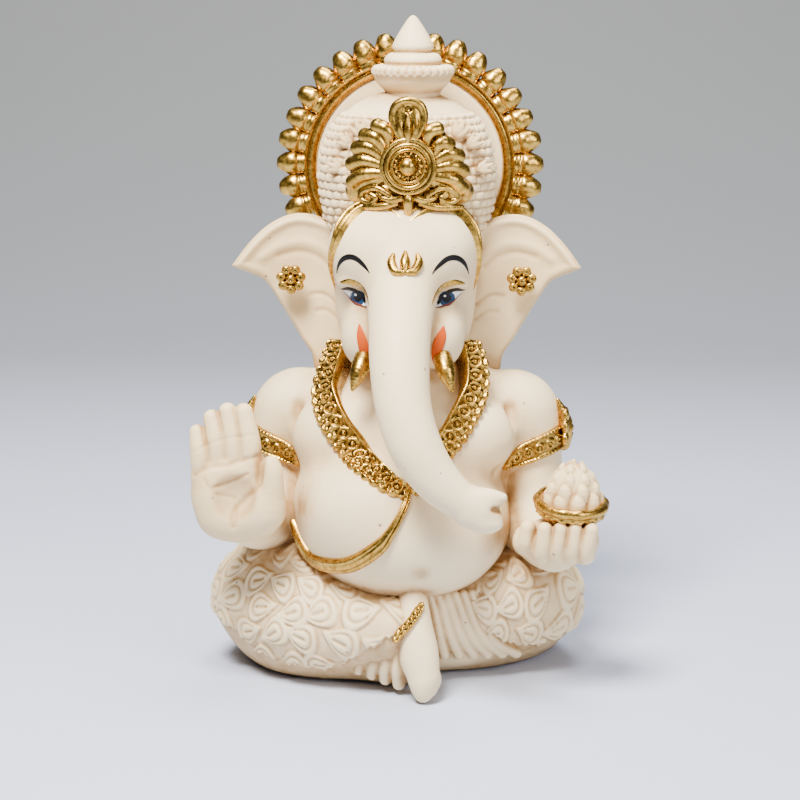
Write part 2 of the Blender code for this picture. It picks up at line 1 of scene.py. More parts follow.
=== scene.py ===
"""The looks of the seated elephant-headed figure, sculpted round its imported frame.

Every shape is worked in millimetres of the frame. Soft forms are clay: distance fields of eggs and
limbs that blend into each other. They are skinned with a fine mesh, and ornaments are laid on them.
"""

import math

import bpy
import numpy as np
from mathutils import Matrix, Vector


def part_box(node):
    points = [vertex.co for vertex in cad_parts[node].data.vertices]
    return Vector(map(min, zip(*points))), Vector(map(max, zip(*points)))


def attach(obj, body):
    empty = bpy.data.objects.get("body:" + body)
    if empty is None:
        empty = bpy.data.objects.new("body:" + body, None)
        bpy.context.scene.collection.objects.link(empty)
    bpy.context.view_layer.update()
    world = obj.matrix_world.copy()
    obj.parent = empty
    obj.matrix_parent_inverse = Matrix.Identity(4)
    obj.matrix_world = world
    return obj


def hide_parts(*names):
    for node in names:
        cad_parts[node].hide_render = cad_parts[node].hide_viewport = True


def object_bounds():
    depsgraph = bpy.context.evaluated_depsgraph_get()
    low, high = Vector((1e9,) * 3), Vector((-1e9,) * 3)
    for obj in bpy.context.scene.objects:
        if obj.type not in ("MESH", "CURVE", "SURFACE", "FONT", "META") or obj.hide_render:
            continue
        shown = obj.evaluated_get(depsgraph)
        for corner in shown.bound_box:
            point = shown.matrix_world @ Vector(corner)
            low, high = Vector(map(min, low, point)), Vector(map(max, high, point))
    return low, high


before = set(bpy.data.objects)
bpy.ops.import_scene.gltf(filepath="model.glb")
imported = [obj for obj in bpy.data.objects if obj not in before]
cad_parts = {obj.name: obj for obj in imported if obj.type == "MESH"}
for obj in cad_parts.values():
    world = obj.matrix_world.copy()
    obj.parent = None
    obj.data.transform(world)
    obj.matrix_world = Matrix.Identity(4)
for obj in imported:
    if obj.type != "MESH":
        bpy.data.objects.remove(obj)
cad_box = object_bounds()

DESIGN_HEIGHT = 136.6
MM = (cad_box[1][2] - cad_box[0][2]) / DESIGN_HEIGHT  # metres in a millimetre of the design
EYE = np.array([22.0, -470.0, 152.0])  # where the viewer stands, and what they look at
AIM = np.array([-1.3, 0.0, 56.2])

# ---------------------------------------------------------------- clay


def turning(tilt):
    """Rotation matrix for degrees about X, then Y, then Z."""
    turn = np.eye(3)
    for axis, degrees in enumerate(tilt):
        c, s = math.cos(math.radians(degrees)), math.sin(math.radians(degrees))
        j, k = (axis + 1) % 3, (axis + 2) % 3
        step = np.eye(3)
        step[j, j] = step[k, k] = c
        step[j, k], step[k, j] = -s, s
        turn = step @ turn
    return turn


def length(v):
    return np.sqrt(np.einsum("...i,...i->...", v, v))


class Egg:
    """An ellipsoid."""

    def __init__(self, centre, radii, tilt=(0, 0, 0)):
        self.centre = np.array(centre, float)
        self.radii = np.array(radii, float)
        self.turn = turning(tilt)
        self.reach = max(radii)

    def __call__(self, p):
        q = (p - self.centre) @ self.turn
        near, steep = length(q / self.radii), length(q / self.radii**2)
        return near * (near - 1) / np.maximum(steep, 1e-6)


def smooth_path(knots, count):
    """Rows on a Catmull-Rom curve through the knots, each row a point with any extra values."""
    rows = np.array(knots, float)
    rows = np.vstack([2 * rows[0] - rows[1], rows, 2 * rows[-1] - rows[-2]])
    at = np.linspace(0, len(rows) - 3, count + 1)
    k = np.minimum(at.astype(int), len(rows) - 4)
    t = (at - k)[:, None]
    a, b, c, d = rows[k], rows[k + 1], rows[k + 2], rows[k + 3]
    return 0.5 * (2 * b + (c - a) * t + (2 * a - 5 * b + 4 * c - d) * t**2 + (3 * b - 3 * c + d - a) * t**3)


class Limb:
    """A tube with round ends through (x, y, z, radius) knots."""

    def __init__(self, knots, count=16):
        rows = smooth_path(knots, count)
        self.starts, self.ends = rows[:-1], rows[1:]
        low, high = rows[:, :3].min(0), rows[:, :3].max(0)
        self.centre = (low + high) / 2
        self.reach = length(high - low) / 2 + rows[:, 3].max()

    def __call__(self, p):
        best = np.full(len(p), 1e3)
        for a, b in zip(self.starts, self.ends):
            along = b[:3] - a[:3]
            t = np.clip((p - a[:3]) @ along / max(along @ along, 1e-9), 0, 1)
            best = np.minimum(best, length(p - a[:3] - t[:, None] * along) - a[3] - t * (b[3] - a[3]))
        return best


def smooth_min(a, b, soft):
    h = np.maximum(soft - np.abs(a - b), 0) / soft
    return np.minimum(a, b) - h * h * soft / 4


class Ring:
    """A round bar bent into a circle that faces the viewer."""

    def __init__(self, centre, radius, thick):
        self.centre, self.radius, self.thick = np.array(centre, float), radius, thick
        self.reach = radius + thick

    def __call__(self, p):
        q = p - self.centre
        return np.hypot(np.hypot(q[:, 0], q[:, 2]) - self.radius, q[:, 1]) - self.thick


class Sheet:
    """A bent plate with a smooth outline in x and z. bend and thick give its middle and its thickness."""

    def __init__(self, outline, bend, thick, soft=1.4):
        corners = np.array(outline, float)
        path = smooth_path(np.vstack([corners[-1:], corners, corners[:2]]), 6 * (len(corners) + 2))[6:-6]
        self.a, self.b = path[:-1], path[1:]
        self.bend, self.thick, self.soft = bend, thick, soft
        low, high = corners.min(0), corners.max(0)
        self.centre = np.array([(low[0] + high[0]) / 2, 0.0, (low[1] + high[1]) / 2])
        self.reach = length(high - low) / 2 + 6

    def edge(self, p):
        flat = p[:, [0, 2]]
        best, inside = np.full(len(p), 1e3), np.zeros(len(p), bool)
        for a, b in zip(self.a, self.b):
            along = b - a
            t = np.clip((flat - a) @ along / max(along @ along, 1e-9), 0, 1)
            best = np.minimum(best, length(flat - a - t[:, None] * along))
            if a[1] != b[1]:
                crosses = (a[1] > flat[:, 1]) != (b[1] > flat[:, 1])
                inside ^= crosses & (flat[:, 0] < a[0] + (flat[:, 1] - a[1]) * along[0] / along[1])
        return np.where(inside, -best, best)

    def __call__(self, p):
        edge = self.edge(p)
        depth = np.abs(p[:, 1] - self.bend(p)) - self.thick(p, edge) / 2
        return -smooth_min(-edge, -depth, self.soft)


class Clay:
    """Shapes pressed together, each with the softness of its join."""

    def __init__(self):
        self.strokes = []

    def box(self):
        added = [shape for shape, _, side in self.strokes if side > 0]
        low = np.min([shape.centre - shape.reach for shape in added], 0)
        high = np.max([shape.centre + shape.reach for shape in added], 0)
        return low - 0.6, high + 0.6

    def add(self, shape, soft=2.0):
        self.strokes.append((shape, soft, 1))
        return self

    def cut(self, shape, soft=0.8):
        self.strokes.append((shape, soft, -1))
        return self

    def egg(self, centre, radii, tilt=(0, 0, 0), soft=2.0):
        return self.add(Egg(centre, radii, tilt), soft)

    def limb(self, knots, count=16, soft=2.0):
        return self.add(Limb(knots, count), soft)

    def groove(self, knots, count=10, soft=0.5):
        return self.cut(Limb(knots, count), soft)

    def __call__(self, p):
        d = np.full(len(p), 1e3)
        for shape, soft, side in self.strokes:
            touched = length(p - shape.centre) - shape.reach < side * d + soft
            if touched.any():
                q = shape(p[touched])
                d[touched] = side * smooth_min(side * d[touched], q, soft)
        return d


# ---------------------------------------------------------------- skins


def in_chunks(field, p, size=200_000):
    if not len(p):
        return np.zeros(0)
    return np.concatenate([field(p[i : i + size]) for i in range(0, len(p), size)])


def sample_blocks(field, low, high, voxel):
    """The field on a grid, worked out finely only near the surface."""
    block = 4
    low = np.array(low, float)
    count = np.ceil((np.array(high, float) - low) / (voxel * block)).astype(int)
    size = voxel * block
    axes = [low[k] + (np.arange(count[k]) + 0.5) * size for k in range(3)]
    centres = np.stack(np.meshgrid(*axes, indexing="ij"), -1).reshape(-1, 3)
    rough = in_chunks(field, centres).reshape(count)
    for axis in range(3):
        rough = rough.repeat(block, axis)
    fine = np.abs(rough) < size * 1.25
    value = np.pad(rough, ((0, 1),) * 3, mode="edge")
    wanted = np.zeros(value.shape, bool)
    nx, ny, nz = fine.shape
    for i in (0, 1):
        for j in (0, 1):
            for k in (0, 1):
                wanted[i : i + nx, j : j + ny, k : k + nz] |= fine
    value[wanted] = in_chunks(field, low + np.argwhere(wanted) * voxel)
    return value, low


def surface_net(value, low, voxel):
    """Points and four-sided faces of the zero surface."""
    inside = value < 0
    nx, ny, nz = inside.shape
    corners = sum(
        inside[i : nx - 1 + i, j : ny - 1 + j, k : nz - 1 + k].astype(np.int8)
        for i in (0, 1) for j in (0, 1) for k in (0, 1)
    )
    active = (corners > 0) & (corners < 8)
    cells = np.argwhere(active)
    number = np.full(active.shape, -1, np.int64)
    number[active] = np.arange(len(cells))
    total, hits = np.zeros((len(cells), 3)), np.zeros(len(cells))
    for axis in range(3):
        step = np.eye(3, dtype=int)[axis]
        others = [k for k in range(3) if k != axis]
        for i in (0, 1):
            for j in (0, 1):
                start = np.zeros(3, int)
                start[others[0]], start[others[1]] = i, j
                a = value[tuple((cells + start).T)]
                b = value[tuple((cells + start + step).T)]
                crossed = (a < 0) != (b < 0)
                t = a[crossed] / (a[crossed] - b[crossed])
                total[crossed] += start + t[:, None] * step
                hits[crossed] += 1
    points = low + (cells + total / hits[:, None]) * voxel
    faces = []
    for axis in range(3):
        j, k = (axis + 1) % 3, (axis + 2) % 3
        lower = [slice(None)] * 3
        upper = [slice(None)] * 3
        lower[axis], upper[axis] = slice(0, -1), slice(1, None)
        a, b = inside[tuple(lower)], inside[tuple(upper)]
        edges = np.argwhere(a != b)
        edges = edges[(edges[:, j] > 0) & (edges[:, k] > 0)]
        edges = edges[(edges[:, j] < active.shape[j]) & (edges[:, k] < active.shape[k])]
        back_j, back_k = np.eye(3, dtype=int)[j], np.eye(3, dtype=int)[k]
        ring = [edges, edges - back_j, edges - back_j - back_k, edges - back_k]
        quad = np.stack([number[tuple(r.T)] for r in ring], 1)
        flip = ~a[tuple(edges.T)]
        quad[flip] = quad[flip][:, ::-1]
        faces.append(quad)
    return points, np.vstack(faces)


def slope(field, p, step=0.08):
    """Unit direction in which the field grows."""
    grad = np.empty_like(p)
    for axis in range(3):
        shift = np.zeros(3)
        shift[axis] = step
        grad[:, axis] = in_chunks(field, p + shift) - in_chunks(field, p - shift)
    return grad / np.maximum(length(grad), 1e-9)[:, None]


def settle(field, p, rounds=2, most=0.3):
    """Moves points onto the field's surface."""
    for _ in range(rounds):
        p = p - slope(field, p) * np.clip(in_chunks(field, p), -most, most)[:, None]
    return p


# ---------------------------------------------------------------- meshes and pieces


made = []  # names of all pieces


def new_piece(name, points, faces, material, node):
    """A piece of the figure that rides on the root body and stands for its CAD node."""
    mesh = bpy.data.meshes.new(name)
    mesh.from_pydata(np.asarray(points) * MM, [], faces)
    corners = np.empty(len(mesh.vertices) * 3, np.float32)
    mesh.vertices.foreach_get("co", corners)
    centres, normals = np.empty(len(mesh.polygons) * 3), np.empty(len(mesh.polygons) * 3)
    areas = np.empty(len(mesh.polygons))
    mesh.polygons.foreach_get("center", centres)
    mesh.polygons.foreach_get("normal", normals)
    mesh.polygons.foreach_get("area", areas)
    centres = centres.reshape(-1, 3) - corners.reshape(-1, 3).mean(0)
    if (np.einsum("ij,ij->i", centres, normals.reshape(-1, 3)) * areas).sum() < 0:
        mesh.flip_normals()
    mesh.polygons.foreach_set("use_smooth", [True] * len(mesh.polygons))
    mesh.validate()
    mesh.materials.append(material)
    piece = bpy.data.objects.new(name, mesh)
    bpy.context.scene.collection.objects.link(piece)
    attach(piece, "root")
    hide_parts(node)
    made.append(name)
    return piece


masses = []  # (field, low corner, high corner) of every ivory form, for the painted shade in the hollows


def sculpture(name, field, voxel, material, node, slot="ivory_resin", relief=None, floor=None):
    """Skins a field. relief gives the height of fine detail at points with their outward normals."""
    low, high = field.box()
    if floor is not None:
        low[2] = floor - 1.0
    if slot == "ivory_resin":
        masses.append((field, low, high))
    solid = field if floor is None else lambda p: np.maximum(field(p), floor - p[:, 2])
    value, start = sample_blocks(solid, low, high, voxel)
    points, faces = surface_net(value, start, voxel)
    points = settle(solid, points, 1, voxel)
    if relief:
        normals = slope(solid, points)
        points = points + normals * relief(points, normals)[:, None]
    return new_piece(name, points, faces, material, node)


def sweep(name, sections, material, node, poles=None):
    """A closed skin over rings of points. The ends are capped, or drawn to the two poles."""
    rows, ring = sections.shape[:2]
    i, j = np.meshgrid(np.arange(rows - 1), np.arange(ring), indexing="ij")
    i, j = i.ravel(), j.ravel()
    down, over = i + 1, (j + 1) % ring
    faces = np.stack([i * ring + j, i * ring + over, down * ring + over, down * ring + j], 1).tolist()
    points = sections.reshape(-1, 3)
    first, last = np.arange(ring), np.arange(ring) + (rows - 1) * ring
    if poles is not None:
        points = np.vstack([points, poles])
        tip, toe = len(points) - 2, len(points) - 1
        faces += [(tip, int(b), int(a)) for a, b in zip(first, np.roll(first, -1))]
        faces += [(toe, int(a), int(b)) for a, b in zip(last, np.roll(last, -1))]
    else:
        faces += [first[::-1].tolist(), last.tolist()]
    return new_piece(name, points, faces, material, node)


def band(name, host, knots, relief, material, node, pitch=0.25, across=14, sink=0.7):
    """A raised strip pressed on the host along (x, y, z, half width) knots.

    relief gives its height at the distance s along it and at v, which runs from -1 to 1 across it.
    """
    rough = smooth_path(knots, 90)
    line = settle(host, rough[:, :3], 8, 1.5)
    run = np.concatenate([[0], np.cumsum(length(np.diff(line, axis=0)))])
    at = np.linspace(0, run[-1], max(int(run[-1] / pitch), 8) + 1)
    line = np.stack([np.interp(at, run, line[:, k]) for k in range(3)], 1)
    half = np.interp(at, run, rough[:, 3])
    side = np.cross(np.gradient(line, axis=0), slope(host, line))
    side /= length(side)[:, None]
    v = np.linspace(-1, 1, across)
    top = line[:, None] + side[:, None] * (half[:, None] * v)[..., None]
    top = settle(host, top.reshape(-1, 3), 3, 0.8)
    normals = slope(host, top).reshape(len(at), across, 3)
    top = top.reshape(len(at), across, 3)
    height = relief(at[:, None], v[None, :], half[:, None]) + np.zeros((len(at), across))
    upper = top + normals * height[..., None]
    lower = top - normals * sink
    return sweep(name, np.concatenate([upper, lower[:, ::-1]], 1), material, node)


def lathe(name, profile, centre, material, node, relief=None, squash=1.0, tilt=(0, 0, 0),
          steps=160, pitch=0.3):
    """A turned form. relief gives its height at an angle, a distance along the profile, and a height."""
    corners = np.array(profile, float)
    run = np.concatenate([[0], np.cumsum(length(np.diff(corners, axis=0)))])
    at = np.linspace(0, run[-1], int(run[-1] / pitch) + 1)
    rows = np.stack([np.interp(at, run, corners[:, k]) for k in range(2)], 1)
    for _ in range(2):
        rows[1:-1] = (rows[:-2] + 2 * rows[1:-1] + rows[2:]) / 4
    turn = np.arange(steps) * 2 * math.pi / steps
    way = np.gradient(rows, axis=0)
    way /= length(way)[:, None]
    outward = np.stack([-way[:, 1], way[:, 0]], 1)
    r, z = rows[1:-1, 0:1] + 0 * turn, rows[1:-1, 1:2] + 0 * turn
    if relief:
        height = relief(turn[None, :] + 0 * r, at[1:-1, None] + 0 * r, z)
        r, z = r + height * outward[1:-1, 0:1], z + height * outward[1:-1, 1:2]
    points = np.stack([r * np.cos(turn), r * np.sin(turn) * squash, z], -1) @ turning(tilt).T + centre
    poles = np.array([(0, 0, rows[0, 1]), (0, 0, rows[-1, 1])]) @ turning(tilt).T + centre
    return sweep(name, points, material, node, poles=poles)


def to_lines(flat, lines):
    """Distance in a plane to the nearest of several broken lines."""
    best = np.full(len(flat), 1e3)
    for line in lines:
        path = smooth_path(line, 4 * len(line))
        for a, b in zip(path[:-1], path[1:]):
            along = b - a
            t = np.clip((flat - a) @ along / max(along @ along, 1e-9), 0, 1)
            best = np.minimum(best, length(flat - a - t[:, None] * along))
    return best


def carved(*cuts):
    """Relief of (lines in x and z, width, height) cut or raised on what faces the viewer."""

    def relief(p, n):
        total = np.zeros(len(p))
        front = np.clip(-n[:, 1] * 3, 0, 1)
        for lines, width, height in cuts:
            total += height * front * np.exp(-((to_lines(p[:, [0, 2]], lines) / width) ** 2))
        return total

    return relief


def chance(i, j, k):
    """A number from 0 to 1 that looks random and depends only on i, j and k."""
    return np.mod(np.sin(i * 127.1 + j * 311.7 + k * 74.7) * 43758.5453, 1.0)


def ramp_up(x):
    x = np.clip(x, 0, 1)
    return x * x * (3 - 2 * x)


def bell(x):
    return np.exp(-(x**2))


# ---------------------------------------------------------------- materials


class Nodes:
    """Adds shader nodes to a material in a line each."""

    def __init__(self, name):
        self.material = bpy.data.materials.new(name)
        self.material.use_nodes = True
        self.tree = self.material.node_tree
        self.shader = self.tree.nodes["Principled BSDF"]

    def add(self, kind, settings=(), **links):
        node = self.tree.nodes.new(kind)
        for key, value in dict(settings).items():
            setattr(node, key, value)
        for key, value in links.items():
            socket = node.inputs[int(key[1:]) if key[0] == "_" else key.replace("_", " ")]
            if isinstance(value, bpy.types.NodeSocket):
                self.tree.links.new(value, socket)
            else:
                socket.default_value = value
        return node

    def link(self, output, name):
        self.tree.links.new(output, self.shader.inputs[name])

    def point(self):
        """Object coordinates, in millimetres of the design."""
        coordinates = self.add("ShaderNodeTexCoord")
        return self.add(
            "ShaderNodeVectorMath", {"operation": "SCALE"}, _0=coordinates.outputs["Object"], Scale=1 / MM
        ).outputs[0]

    def noise(self, at, scale, detail=3.0, distortion=0.0):
        return self.add(
            "ShaderNodeTexNoise", Vector=at, Scale=scale, Detail=detail, Distortion=distortion
        ).outputs["Fac"]

    def ramp(self, factor, stops):
        node = self.add("ShaderNodeValToRGB", _0=factor)
        elements = node.color_ramp.elements
        while len(elements) < len(stops):
            elements.new(1.0)
        for element, (place, colour) in zip(elements, stops):
            element.position = place
            element.color = (*colour, 1.0) if isinstance(colour, tuple) else (colour, colour, colour, 1.0)
        return node.outputs["Color"]

    def mix(self, factor, a, b):
        node = self.add("ShaderNodeMix", {"data_type": "RGBA"}, _0=factor)
        for value, socket in ((a, node.inputs[6]), (b, node.inputs[7])):
            if isinstance(value, bpy.types.NodeSocket):
                self.tree.links.new(value, socket)
            else:
                socket.default_value = (*value, 1.0)
        return node.outputs[2]

    def maths(self, operation, a, b=0.0):
        return self.add("ShaderNodeMath", {"operation": operation}, _0=a, _1=b).outputs[0]

    def bump(self, height, distance, strength=1.0):
        node = self.add("ShaderNodeBump", Height=height, Strength=strength, Distance=distance * MM)
        self.link(node.outputs["Normal"], "Normal")


def ivory_material(name, light, dark):
    """Satin cast resin, with a tan painted shade in the hollows and where forms crowd each other, faint grain
    and a few pinholes.
    """
    n = Nodes(name)
    at = n.point()
    painted_shade = n.add("ShaderNodeAttribute", {"attribute_name": "painted_shade"}).outputs["Fac"]
    clouds = n.noise(at, 0.09, 4.0)
    # Painted shade: the shade attribute, made patchy by noise, draws the ivory towards a tan (0.44, 0.25,
    # 0.09) in hollows and crowded places.
    uneven = n.maths("MULTIPLY", painted_shade, n.ramp(n.noise(at, 0.35, 4.0), [(0.25, 0.55), (0.75, 1.2)]))
    base = n.mix(clouds, dark, light)
    shaded_base = n.mix(n.ramp(uneven, [(0.0, 0.0), (1.0, 1.0)]), base, (0.44, 0.25, 0.09))
    holes = n.add("ShaderNodeTexVoronoi", Vector=at, Scale=0.16, Randomness=1.0).outputs["Distance"]
    pin = n.ramp(holes, [(0.0, 1.0), (0.035, 1.0), (0.055, 0.0)])
    n.link(n.mix(pin, shaded_base, (0.34, 0.22, 0.13)), "Base Color")
    n.link(n.ramp(n.noise(at, 0.6, 3.0), [(0.3, 0.46), (0.7, 0.60)]), "Roughness")
    grain = n.maths("MULTIPLY", n.noise(at, 2.6, 3.0), 0.35)
    ripples = n.noise(at, 0.45, 2.0)
    height = n.maths("SUBTRACT", n.maths("ADD", grain, ripples), n.maths("MULTIPLY", pin, 1.6))
    n.bump(height, 0.12, 0.8)
    n.shader.inputs["Specular IOR Level"].default_value = 0.35
    return n.material


def gold_material():
    """Brushed-on metallic paint, darker in random patches, with painted shade in the grooves."""
    n = Nodes("gold_paint_finish")
    at = n.point()
    painted_shade = n.add("ShaderNodeAttribute", {"attribute_name": "painted_shade"}).outputs["Fac"]
    patches = n.noise(at, 0.8, 5.0, 0.6)
    bright = n.mix(n.ramp(patches, [(0.3, 0.0), (0.72, 1.0)]), (0.32, 0.17, 0.025), (0.76, 0.47, 0.09))
    # Painted shade in the grooves, together with random dark patches from noise, draws the gold towards a
    # near-black brown (0.045, 0.021, 0.004).
    groove_shade_and_patches = n.maths("ADD", painted_shade, n.ramp(n.noise(at, 2.2, 4.0), [(0.55, 0.0), (0.78, 0.45)]))
    n.link(n.mix(n.ramp(groove_shade_and_patches, [(0.05, 0.0), (0.85, 1.0)]), bright, (0.045, 0.021, 0.004)), "Base Color")
    n.link(n.ramp(n.noise(at, 1.7, 4.0), [(0.3, 0.20), (0.7, 0.36)]), "Roughness")
    n.shader.inputs["Metallic"].default_value = 1.0
    n.bump(n.maths("ADD", n.noise(at, 3.4, 4.0), n.maths("MULTIPLY", n.noise(at, 1.1, 2.0), 1.5)), 0.035,
           0.35)
    return n.material


def paint_material(name, colour, roughness=0.45):
    """A brush stroke of flat colour, a little uneven."""
    n = Nodes(name)
    at = n.point()
    darker = tuple(0.78 * c for c in colour)
    n.link(n.mix(n.noise(at, 1.8, 3.0), darker, colour), "Base Color")
    n.bump(n.noise(at, 4.0, 2.0), 0.03, 0.5)
    n.shader.inputs["Roughness"].default_value = roughness
    n.shader.inputs["Specular IOR Level"].default_value = 0.2
    return n.material


IVORY = ivory_material("ivory_resin_finish", (0.89, 0.73, 0.45), (0.81, 0.62, 0.35))
# A darker, warmer copy of the ivory. On the turban petals it is painted shade on their down-facing
# undersides; on the hands, ears and sweets it gives their warmer tone.
DARKER_IVORY = ivory_material("ivory_darker_finish", (0.84, 0.65, 0.36), (0.77, 0.56, 0.28))
GOLD = gold_material()
BLACK = paint_material("black_paint", (0.004, 0.003, 0.003))
BLUE = paint_material("blue_paint", (0.010, 0.040, 0.10))
WHITE = paint_material("white_paint", (0.86, 0.86, 0.84))
ORANGE = paint_material("orange_paint", (0.56, 0.075, 0.0), 0.7)
RED_BROWN = paint_material("red_brown_paint", (0.16, 0.03, 0.012))

# ---------------------------------------------------------------- body

torso = Clay()
torso.egg((0, -8, 33), (22.5, 24.5, 18))
torso.egg((-8, -13.5, 38.5), (14, 17.5, 11.5), soft=5)
torso.egg((0, -2, 51), (22, 17, 14.5), soft=6)
torso.egg((0, 6, 40), (20, 14, 24), soft=9)
for side in (-1, 1):
    torso.egg((side * 12, -11.9, 51.2), (11.2, 8.8, 9.0), soft=3.8)
    torso.egg((side * 21.5, 0, 53.6), (9.2, 9.2, 9.0), soft=4.5)
    torso.limb([(side * 24, 0, 53, 8.2), (side * 25.2, -0.5, 49, 7.7), (side * 25.8, -1, 45, 7.2)], 6, soft=4)
torso.egg((0, 1, 64), (11.5, 10, 9), soft=6)
torso.egg((0, -2.5, 59.5), (17.0, 11, 10.5), soft=5)
torso.cut(Egg((4.4, -31.2, 26.4), (1.5, 2.0, 1.1)), soft=1.6)
for side in (-1, 1):
    torso.groove([(side * 22.0, -9.5, 57, 0.1), (side * 21.0, -12.0, 53, 0.8),
                  (side * 19.4, -13.4, 48.5, 0.7), (side * 18.0, -14.5, 45, 0.1)], soft=2.6)
spine = settle(torso, np.array([(0.0, 22.0, z) for z in (60, 54, 48, 42, 36, 31)]), 14, 1.5)
torso.groove([(x, y + 0.5, z, r) for (x, y, z), r in zip(spine, (0.3, 0.8, 1.0, 1.1, 0.9, 0.3))], 30,
             soft=2.5)

right_arm = Clay()
right_arm.limb([(-25.8, -1, 49, 7.1), (-26.3, -2, 41, 7.0), (-26, -5, 34, 6.6)], 10)
right_arm.limb([(-26, -5, 34, 6.6), (-28.5, -12, 32.5, 5.8), (-31, -18, 33.5, 5.0), (-32, -22, 36, 4.4)],
               12, soft=3)

left_arm = Clay()
left_arm.limb([(25.8, -1, 49, 7.1), (26.2, -2, 39, 7.0), (26.5, -5, 31.5, 6.8)], 10)
left_arm.limb([(26.5, -5, 31.5, 6.6), (29.5, -12, 29.5, 6.0), (31.5, -18, 29.5, 5.4)], 12, soft=3)

right_leg = Clay()
right_leg.limb([(-14, 3, 19, 11), (-24, -1, 18, 12), (-30, -5, 15, 11)], 12)
right_leg.limb([(-29.5, -8, 13, 10.3), (-20, -16, 12, 10), (-10, -21, 12, 8.4), (-2, -25, 13, 6.5)], 20,
               soft=4)
right_leg.limb([(-31, 2, 6, 8.0), (-25, -9.5, 6, 8.0), (-17, -13.5, 6, 8.0), (-9, -15.5, 6, 7.5),
                (0, -18.5, 5.5, 7)], 20, soft=5)
right_leg.limb([(-27, -8, 21.5, 7), (-19, -15.0, 18.8, 7.5), (-10, -20.8, 15.2, 7), (-2, -24, 13.5, 6)], 16,
               soft=4)

left_leg = Clay()
left_leg.limb([(13, 5, 18, 11), (22, 2, 17, 11.5), (27.5, -2, 14.5, 10.4)], 12)
left_leg.limb([(27, -3, 12.5, 9.6), (19.5, -8, 11.5, 9.2), (9, -12, 10.5, 8)], 16, soft=4)
left_leg.limb([(27, 6, 6, 8), (21.5, -1, 6, 8), (14.5, -5.5, 6, 8), (6, -8.5, 6, 7.5)], 16, soft=5)
left_leg.limb([(26, -3, 19.5, 7), (20, -8.6, 17.6, 7.5), (14, -12.0, 15.8, 6.4), (8, -14, 14.5, 5.5)], 16,
              soft=4)

seat = Clay()
seat.egg((-1, 4, 7), (34, 24, 9.5))
seat.egg((-1, 5, 13), (31, 22, 12), soft=6)

foot = Clay()
foot.limb([(2.6, -25.6, 20.0, 3.0), (3.0, -27.8, 15.0, 3.7), (3.9, -29.6, 9.8, 4.1),
           (5.0, -31.2, 5.4, 3.3)], 16)
foot.egg((5.0, -32.2, 3.1), (2.2, 2.2, 2.9), soft=1.6)
for x, y, z, r in ((6.7, -31.6, 3.4, 1.15), (7.5, -30.4, 4.4, 1.05)):
    foot.egg((x, y, z), (r, r * 1.3, r * 1.5), soft=1.0)

head = Clay()
head.egg((0, -3.5, 86), (15, 16.5, 16))
head.egg((0, -5, 75), (13.8, 13.5, 13.5), soft=5)
for side in (-1, 1):
    head.egg((side * 7, -11, 90), (8, 9.5, 8.5), soft=5)
    head.egg((side * 7.4, -15, 72.5), (5.2, 7.5, 6.5), soft=3)
head.limb([(0, -12, 90, 8.5), (0, -19, 84, 7.2), (0, -26, 77, 6.3), (0.2, -32, 69.5, 5.9),
           (1.2, -36.3, 62, 5.5), (3.6, -38.8, 55, 5.2), (7.5, -39.6, 48.8, 4.6), (12.2, -39.8, 44.6, 3.8),
           (16.2, -40, 42.9, 3.3)], 60, soft=4)
head.limb([(14, -40, 44.4, 2.7), (17.8, -40.4, 45.0, 2.0), (20.8, -40.8, 45.3, 0.9)], 8, soft=1.0)
head.limb([(14, -40.0, 42.0, 3.1), (17.4, -40.4, 40.6, 2.7), (19.2, -40.8, 40.2, 1.7)], 8, soft=1.0)
head.limb([(16, -40.2, 43.2, 2.6), (19.2, -40.6, 42.8, 1.9)], 6, soft=1.0)
head.cut(Egg((20.8, -41.8, 42.7), (2.4, 2.4, 0.75), (0, 14, 0)), soft=0.8)
for side in (-1, 1):
    head.egg((side * 9.6, -14.6, 84.2), (3.6, 3.4, 1.6), (0, side * 14, 0), soft=1.6)
    head.cut(Egg((side * 9.2, -18.9, 81.0), (3.0, 1.0, 1.5), (0, side * 14, 0)), soft=1.4)


# ---------------------------------------------------------------- cloth


